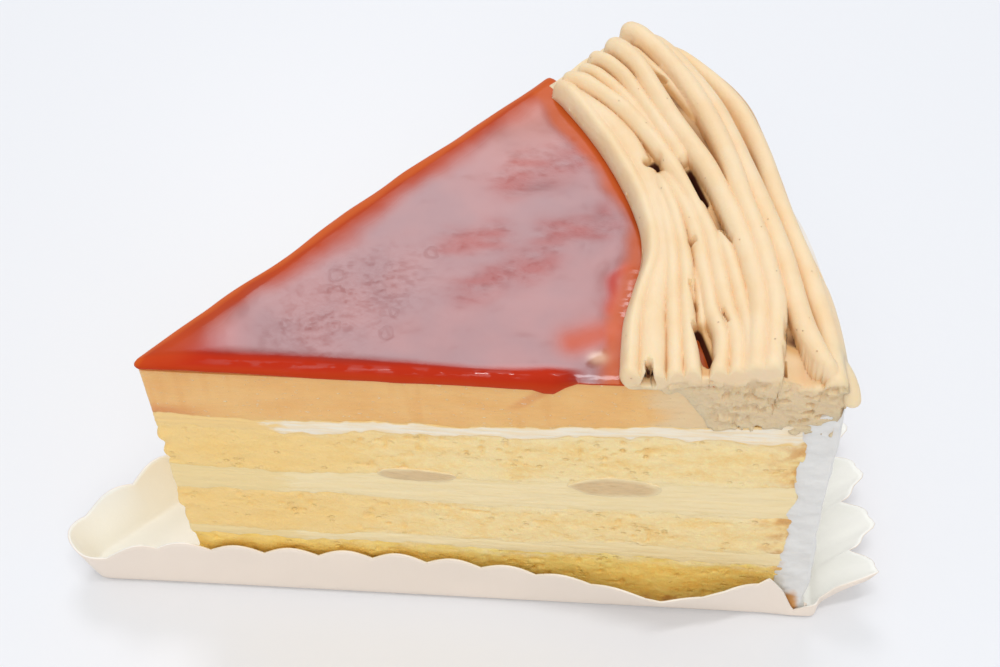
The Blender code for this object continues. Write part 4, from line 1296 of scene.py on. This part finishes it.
def make_paper():
    """Paper case: a flat floor, then walls that lean out from the fold by a tilt that changes along it.

    At a share s of the way up, a point is out by s * length * sin(tilt) and up by s * length * cos(tilt).
    The length has a scallop, the size of |sin|, for each pitch, and round the arc the walls are pleated.
    """
    fold = fold_line()
    along = np.roll(fold, -1, axis=0) - np.roll(fold, 1, axis=0)
    along /= np.linalg.norm(along, axis=1, keepdims=True)
    out_x, out_y = along[:, 1], -along[:, 0]
    x, y = fold[:, 0], fold[:, 1]
    on_arc = step(FOLD_RADIUS - np.hypot(x, y), *ARC_BLEND) * step(y, *ARC_CORNER_BLEND)
    on_front = step(y, *FRONT_BLEND) * (1.0 - on_arc)
    at_tip = step(-x, *TIP_BLEND) * (1.0 - on_front)
    on_back = 1.0 - on_arc - on_front - at_tip
    tilt = np.interp(x, *zip(*FRONT_TILT)) * on_front + TIP_TILT * at_tip
    tilt = np.radians(tilt + np.interp(x, *zip(*BACK_TILT)) * on_back + ARC_TILT * on_arc)
    share = np.interp(x, *zip(*FRONT_SHARE)) * on_front + TIP_SHARE * at_tip
    share = share + BACK_SHARE * on_back + ARC_SHARE * on_arc
    phase = np.arange(len(fold)) / SCALLOP_POINTS
    scallop = np.abs(np.sin(math.pi * phase))
    crease = np.sin(6.0 * math.pi * phase) * (1.0 + 0.5 * noise(phase, 0.0, 0.0, 1.7, 142))
    pleat = (PLEAT_DEPTH * (scallop - 0.5) + CREASE_DEPTH * (crease - 1.0)) * on_arc
    length = (WALL_LENGTH - SCALLOP_DEPTH * (1.0 - scallop)) * share
    bend = np.linspace(0.0, 0.5 * math.pi, 5)[1:-1]
    insets = (*FLOOR_INSETS, *(FOLD_ROUND * (1.0 - np.sin(bend))))
    lifts = (0.0, 0.0, 0.0, *(FOLD_ROUND * (1.0 - np.cos(bend))))
    rows = [placed(x - out_x * inset, y - out_y * inset, PAPER_TOP + lift * np.minimum(1.0, share))
            for inset, lift in zip(insets, lifts)]
    for up in np.linspace(0.0, 1.0, WALL_ROWS + 1)[1:]:
        sway = -0.00022 * (1.0 + noise(x, y, up * 0.010, 0.012, 141))
        reach = length * np.sin(tilt) * up + (pleat + sway) * up
        rise = FOLD_ROUND * (1.0 - up) * share + (length * np.cos(tilt) - PAPER_TOP) * up
        rows.append(placed(x + out_x * reach, y + out_y * reach, PAPER_TOP + rise))
    grid = np.stack(rows)
    grid[..., 1] = np.clip(grid[..., 1], CAD_BOX[0][1] + BOX_MARGIN, CAD_BOX[1][1] - BOX_MARGIN)
    mesh = open_sheet("waxed_paper_case", grid)
    piece = show("waxed_paper_case", mesh)
    wall = piece.modifiers.new("thickness", "SOLIDIFY")
    wall.thickness = PAPER_THICKNESS
    wall.offset = -1.0
    solid = bpy.data.meshes.new_from_object(piece.evaluated_get(bpy.context.evaluated_depsgraph_get()))
    piece.modifiers.clear()
    piece.data = solid
    store(solid, "inside", (np.arange(len(solid.vertices)) < len(mesh.vertices)).astype(float))
    return piece


def open_sheet(name, grid):
    """Sheet over a grid whose columns run round, closed by a fan at its first row and open at its last."""
    index, onward, quads = woven(grid)
    turned = np.roll(quads[:, ::-1], 1, axis=1)
    fan = np.stack((np.full_like(index[0], index.size), index[0], onward[0]), axis=-1)
    points = np.concatenate((grid.reshape(-1, 3), grid[:1].mean(axis=1)))
    return new_mesh(name, points, turned.tolist() + fan.tolist(), {})


# Settings a user would change

def colour_setting(label, description, screen_colour):
    """A colour property whose default is given as a screen colour."""
    return FloatVectorProperty(name=label, description=description, subtype="COLOR", size=3,
                               min=0.0, max=1.0, default=linear(screen_colour))


def length_setting(label, description, default, most, least=0.0):
    """A length property."""
    return FloatProperty(name=label, description=description, default=default, min=least, max=most,
                         unit="LENGTH", precision=5)


def strength_setting(label, description, default):
    """A brightness property."""
    return FloatProperty(name=label, description=description, default=default, min=0.0)


class ShortcakeColours(bpy.types.PropertyGroup):
    """Colours of the cake and its case."""

    sponge: colour_setting("Sponge", "Crumb of the middle and top sponges", (255, 226, 168))
    sponge_dark: colour_setting("Sponge shade", "Darker patches of the crumb", (252, 212, 142))
    # The bottom sponge's deeper yellow is painted shade and warm light bounced from the paper case, over the
    # same crumb as the sponges above.
    sponge_bottom: colour_setting("Bottom sponge", "Crumb of the bottom sponge", (255, 225, 140))
    sponge_bottom_dark: colour_setting("Bottom sponge shade", "Darker patches of it", (255, 209, 112))
    crust: colour_setting("Crust", "Browned rim of the sponges", (214, 152, 84))
    cream: colour_setting("Cream", "Cream between the sponges", (253, 230, 182))
    cream_dark: colour_setting("Cream shade", "Cream stained by the crumb", (248, 220, 160))
    white_cream: colour_setting("White cream", "Upper cream and coat", (246, 242, 236))
    upper_cream: colour_setting("Upper cream", "White cream above the top sponge", (252, 240, 220))
    bavarois: colour_setting("Bavarois", "Bavarois at its cut", (244, 185, 109))
    bavarois_stain: colour_setting("Caramel stain", "Caramel that ran into the bavarois", (222, 128, 62))
    glaze_deep: colour_setting("Glaze, deep", "Glaze where it lies thick", (122, 22, 14))
    glaze_red: colour_setting("Glaze, edge", "Glaze along the edge", (186, 42, 8))
    glaze_rim: colour_setting("Glaze, rim", "Glaze where it thins out", (214, 100, 34))
    chestnut_cream: colour_setting("Chestnut cream", "Piped chestnut cream", (242, 216, 178))
    chestnut_torn: colour_setting("Chestnut cream, torn", "The same at the torn cut", (222, 196, 156))
    chestnut: colour_setting("Chestnut", "Cut chestnut", (228, 196, 148))
    # Outer and inner face of one sheet: the outer colour is painted shade, the inner colour painted light.
    paper: colour_setting("Paper", "Outer face of the paper", (250, 234, 218))
    paper_inside: colour_setting("Paper, inside", "Inner face of the paper", (251, 250, 243))
    floor: colour_setting("Floor", "Floor under the slice", (236, 237, 240))


class ShortcakeSizes(bpy.types.PropertyGroup):
    """Sizes of the finer forms."""

    crumb_depth: length_setting("Crumb depth", "Depth of the sponge's cut crumb", 0.00022, 0.001)
    cream_depth: length_setting("Cream relief", "Depth of the streaks in the cream", 0.00010, 0.001)
    glaze_round: length_setting("Glaze edge", "Width of the glaze's rounded edge", 0.0022, 0.004, 0.001)
    glaze_bulge: length_setting("Glaze bulge", "How far the glaze stands out of the cut", 0.00028, 0.001)


class ShortcakeStage(bpy.types.PropertyGroup):
    """Strength of the lights."""

    sky: strength_setting("Sky", "Brightness of the even light all round", 0.70)
    window: strength_setting("Window", "Brightness of the large light that the glaze mirrors", 5.0)
    fill: strength_setting("Fill", "Brightness of the light beside the camera", 1.6)
    glint: strength_setting("Glint", "Brightness of the thin light above the front edge", 26.0)


# Operators

class PieceOperator:
    """What the operators of the pieces share: make() gets the scene's colours and sizes."""

    def execute(self, context):
        self.make(context.scene.shortcake_colours, context.scene.shortcake_sizes)
        return {"FINISHED"}


class MakePaperCase(PieceOperator, bpy.types.Operator):
    """Make the scalloped and pleated paper case"""

    bl_idname = "shortcake.paper_case"
    bl_label = "Paper case"

    def make(self, colours, sizes):
        finish_piece(make_paper(), paper_look(colours), "waxed_paper", "paper_case")


class MakeSponges(PieceOperator, bpy.types.Operator):
    """Make the three sponges with their cut crumb"""

    bl_idname = "shortcake.sponges"
    bl_label = "Sponges"

    def make(self, colours, sizes):
        pale = sponge_look("sponge_crumb", colours.sponge, colours.sponge_dark, colours)
        # Painted shade and bounced light: the bottom sponge is the same crumb in a deeper yellow.
        deep = sponge_look("bottom_sponge_crumb", colours.sponge_bottom, colours.sponge_bottom_dark, colours)
        relief = crumb_relief(sizes.crumb_depth)
        makers = (
            ("sponge_bottom", None, deep, "bottom_sponge", bottom_crust),
            ("sponge_middle", "cream_lower", pale, "sponge", outer_crust),
            ("sponge_top", "cream_middle", pale, "sponge", outer_crust),
        )
        for name, below, look, slot, crust in makers:
            values = {"pit": pits, "edge": layer_edge, "warm": warm_end, "crust": crust}
            piece = slab(name + "_crumb", SPONGE_RADIUS, top_of(below), top_of(name), 0.00032, relief, values)
            finish_piece(piece, look, slot, name)


class MakeCreams(PieceOperator, bpy.types.Operator):
    """Make the creams between and above the sponges"""

    bl_idname = "shortcake.creams"
    bl_label = "Creams"

    def make(self, colours, sizes):
        soft = cream_look("layer_cream", colours.cream, colours.cream_dark)
        white = cream_look("upper_cream", colours.upper_cream, colours.sponge_dark)
        relief = cream_relief(sizes.cream_depth)
        makers = (
            ("cream_lower", "sponge_bottom", soft, "cream", stain_and_shade(0.45, 0.30, 0.0)),
            ("cream_middle", "sponge_middle", soft, "cream", stain_and_shade(0.45, 0.30, 0.0)),
            # The upper cream also gets painted shade towards the coat.
            ("cream_upper", "sponge_top", white, "white_cream", stain_and_shade(0.60, 0.32, 0.30)),
        )
        for name, below, look, slot, stain_shade_rule in makers:
            piece = slab(name + "_spread", SPONGE_RADIUS, top_of(below), top_of(name), 0.00034, relief,
                         {"stain": stain_shade_rule})
            finish_piece(piece, look, slot, name)


class MakeBavarois(PieceOperator, bpy.types.Operator):
    """Make the bavarois disc's cut wedge"""

    bl_idname = "shortcake.bavarois"
    bl_label = "Bavarois"

    def make(self, colours, sizes):
        values = {"stain": tip_stain, "smear": chestnut_smear}
        piece = slab("bavarois_cut", BAVAROIS_RADIUS, top_of("cream_upper"), bavarois_face, 0.00032,
                     bavarois_relief, values)
        finish_piece(piece, bavarois_look(colours), "bavarois", "bavarois")


class MakeGlaze(PieceOperator, bpy.types.Operator):
    """Make the caramel glaze with its dents and bubble rings"""

    bl_idname = "shortcake.glaze"
    bl_label = "Caramel glaze"

    def make(self, colours, sizes):
        finish_piece(make_glaze(sizes), glaze_look(colours), "caramel_glaze", "caramel_glaze")


class MakePiping(PieceOperator, bpy.types.Operator):
    """Make the piped chestnut cream and the mass under it"""

    bl_idname = "shortcake.piping"
    bl_label = "Chestnut cream"

    def make(self, colours, sizes):
        finish_piece(make_piping(), piping_look(colours), "chestnut_cream", "chestnut_piping")


class MakeCoat(PieceOperator, bpy.types.Operator):
    """Make the white cream coat on the outer arc"""

    bl_idname = "shortcake.coat"
    bl_label = "Cream coat"

    def make(self, colours, sizes):
        finish_piece(make_coat(), coat_look(colours), "coat_cream", "cream_coat")


class MakeChestnuts(PieceOperator, bpy.types.Operator):
    """Make the slices of chestnut at both cuts"""

    bl_idname = "shortcake.chestnuts"
    bl_label = "Chestnut slices"

    def make(self, colours, sizes):
        look = chestnut_look(colours)
        for name in CHESTNUTS:
            finish_piece(make_chestnut(name), look, "chestnut", name)


def area_light(name, place, target, size, radiance, colour):
    """Flat light at a place that faces a target, with its power worked out from its brightness."""
    light = bpy.data.lights.new(name, "AREA")
    light.shape = "RECTANGLE"
    light.size, light.size_y = size
    light.energy = radiance * math.pi * size[0] * size[1]
    light.color = colour
    made = bpy.data.objects.new(name, light)
    made.location = place
    made.rotation_euler = (target - place).to_track_quat("-Z", "Y").to_euler()
    bpy.context.scene.collection.objects.link(made)


def make_floor(colour):
    """A square of plain floor just under the paper."""
    mesh = bpy.data.meshes.new("floor")
    signs = ((-1, -1), (1, -1), (1, 1), (-1, 1))
    corners = [(x * FLOOR_REACH, y * FLOOR_REACH, FLOOR_HEIGHT) for x, y in signs]
    mesh.from_pydata(corners, [], [(0, 1, 2, 3)])
    look = Look("floor", roughness=0.30, specular_ior_level=0.4)
    look.paint(colour)
    mesh.materials.append(look.material)
    show("floor", mesh)


def make_lights(settings, eye):
    """Even light all round, a large light where the glaze mirrors it to the eye, and two smaller ones."""
    world = bpy.data.worlds.new("studio")
    world.use_nodes = True
    backdrop = world.node_tree.nodes["Background"]
    backdrop.inputs["Color"].default_value = SKY_COLOUR
    backdrop.inputs["Strength"].default_value = settings.sky
    bpy.context.scene.world = world
    middle = TIP + GLAZE_MIDDLE
    seen = (middle - eye).normalized()
    mirrored = Vector((seen.x, seen.y, -seen.z))
    area_light("window_light", middle + mirrored * WINDOW_DISTANCE, middle, (0.42, 0.34), settings.window,
               (1.0, 0.99, 1.05))
    area_light("fill_light", TIP + FILL_PLACE, middle, (0.5, 0.5), settings.fill, (1.0, 0.99, 0.97))
    area_light("glint_light", middle + GLINT_PLACE, middle, (0.50, 0.06), settings.glint, (1.0, 1.0, 1.0))


def make_camera(eye, target):
    """Camera at an eye, towards a target, turned round its own line of sight by CAMERA_ROLL."""
    camera = bpy.data.cameras.new("camera")
    camera.lens = CAMERA_LENS
    camera.sensor_width = SENSOR_WIDTH
    camera.clip_start = CAMERA_NEAR
    forward = (target - eye).normalized()
    right = forward.cross(Vector((0.0, 0.0, 1.0))).normalized()
    up = right.cross(forward)
    c, s = math.cos(CAMERA_ROLL), math.sin(CAMERA_ROLL)
    axes = Matrix((right * c + up * s, up * c - right * s, -forward)).transposed()
    made = bpy.data.objects.new("camera", camera)
    made.matrix_world = Matrix.Translation(eye) @ axes.to_4x4()
    bpy.context.scene.collection.objects.link(made)
    bpy.context.scene.camera = made


class MakeStage(bpy.types.Operator):
    """Make the floor, the lights and the camera"""

    bl_idname = "shortcake.stage"
    bl_label = "Stage"

    def execute(self, context):
        scene = context.scene
        scene.view_settings.view_transform = "Standard"
        make_floor(scene.shortcake_colours.floor)
        eye = TIP + CAMERA_PLACE
        make_lights(scene.shortcake_stage, eye)
        make_camera(eye, TIP + CAMERA_TARGET)
        return {"FINISHED"}


OPERATORS = (
    MakePaperCase, MakeSponges, MakeCreams, MakeBavarois, MakeGlaze, MakePiping, MakeCoat, MakeChestnuts,
    MakeStage,
)
GROUPS = {"shortcake_colours": ShortcakeColours, "shortcake_sizes": ShortcakeSizes,
          "shortcake_stage": ShortcakeStage}


class ShortcakePanel(bpy.types.Panel):
    """Buttons and settings of the shortcake slice"""

    bl_idname = "VIEW3D_PT_shortcake"
    bl_label = "Shortcake slice"
    bl_space_type = "VIEW_3D"
    bl_region_type = "UI"
    bl_category = "Shortcake"

    def draw(self, context):
        for operator in OPERATORS:
            self.layout.operator(operator.bl_idname)
        for label in GROUPS:
            group = getattr(context.scene, label)
            box = self.layout.box()
            for setting in group.bl_rna.properties:
                if setting.identifier not in ("rna_type", "name"):
                    box.prop(group, setting.identifier)


def register():
    for label, group in GROUPS.items():
        bpy.utils.register_class(group)
        setattr(bpy.types.Scene, label, PointerProperty(type=group))
    for kind in (*OPERATORS, ShortcakePanel):
        bpy.utils.register_class(kind)


def unregister():
    for kind in reversed((*OPERATORS, ShortcakePanel)):
        bpy.utils.unregister_class(kind)
    for label, group in reversed(GROUPS.items()):
        delattr(bpy.types.Scene, label)
        bpy.utils.unregister_class(group)


def main():
    register()
    bpy.ops.shortcake.paper_case()
    bpy.ops.shortcake.sponges()
    bpy.ops.shortcake.creams()
    bpy.ops.shortcake.bavarois()
    bpy.ops.shortcake.glaze()
    bpy.ops.shortcake.piping()
    bpy.ops.shortcake.coat()
    bpy.ops.shortcake.chestnuts()
    bpy.ops.shortcake.stage()


if __name__ == "__main__":
    main()
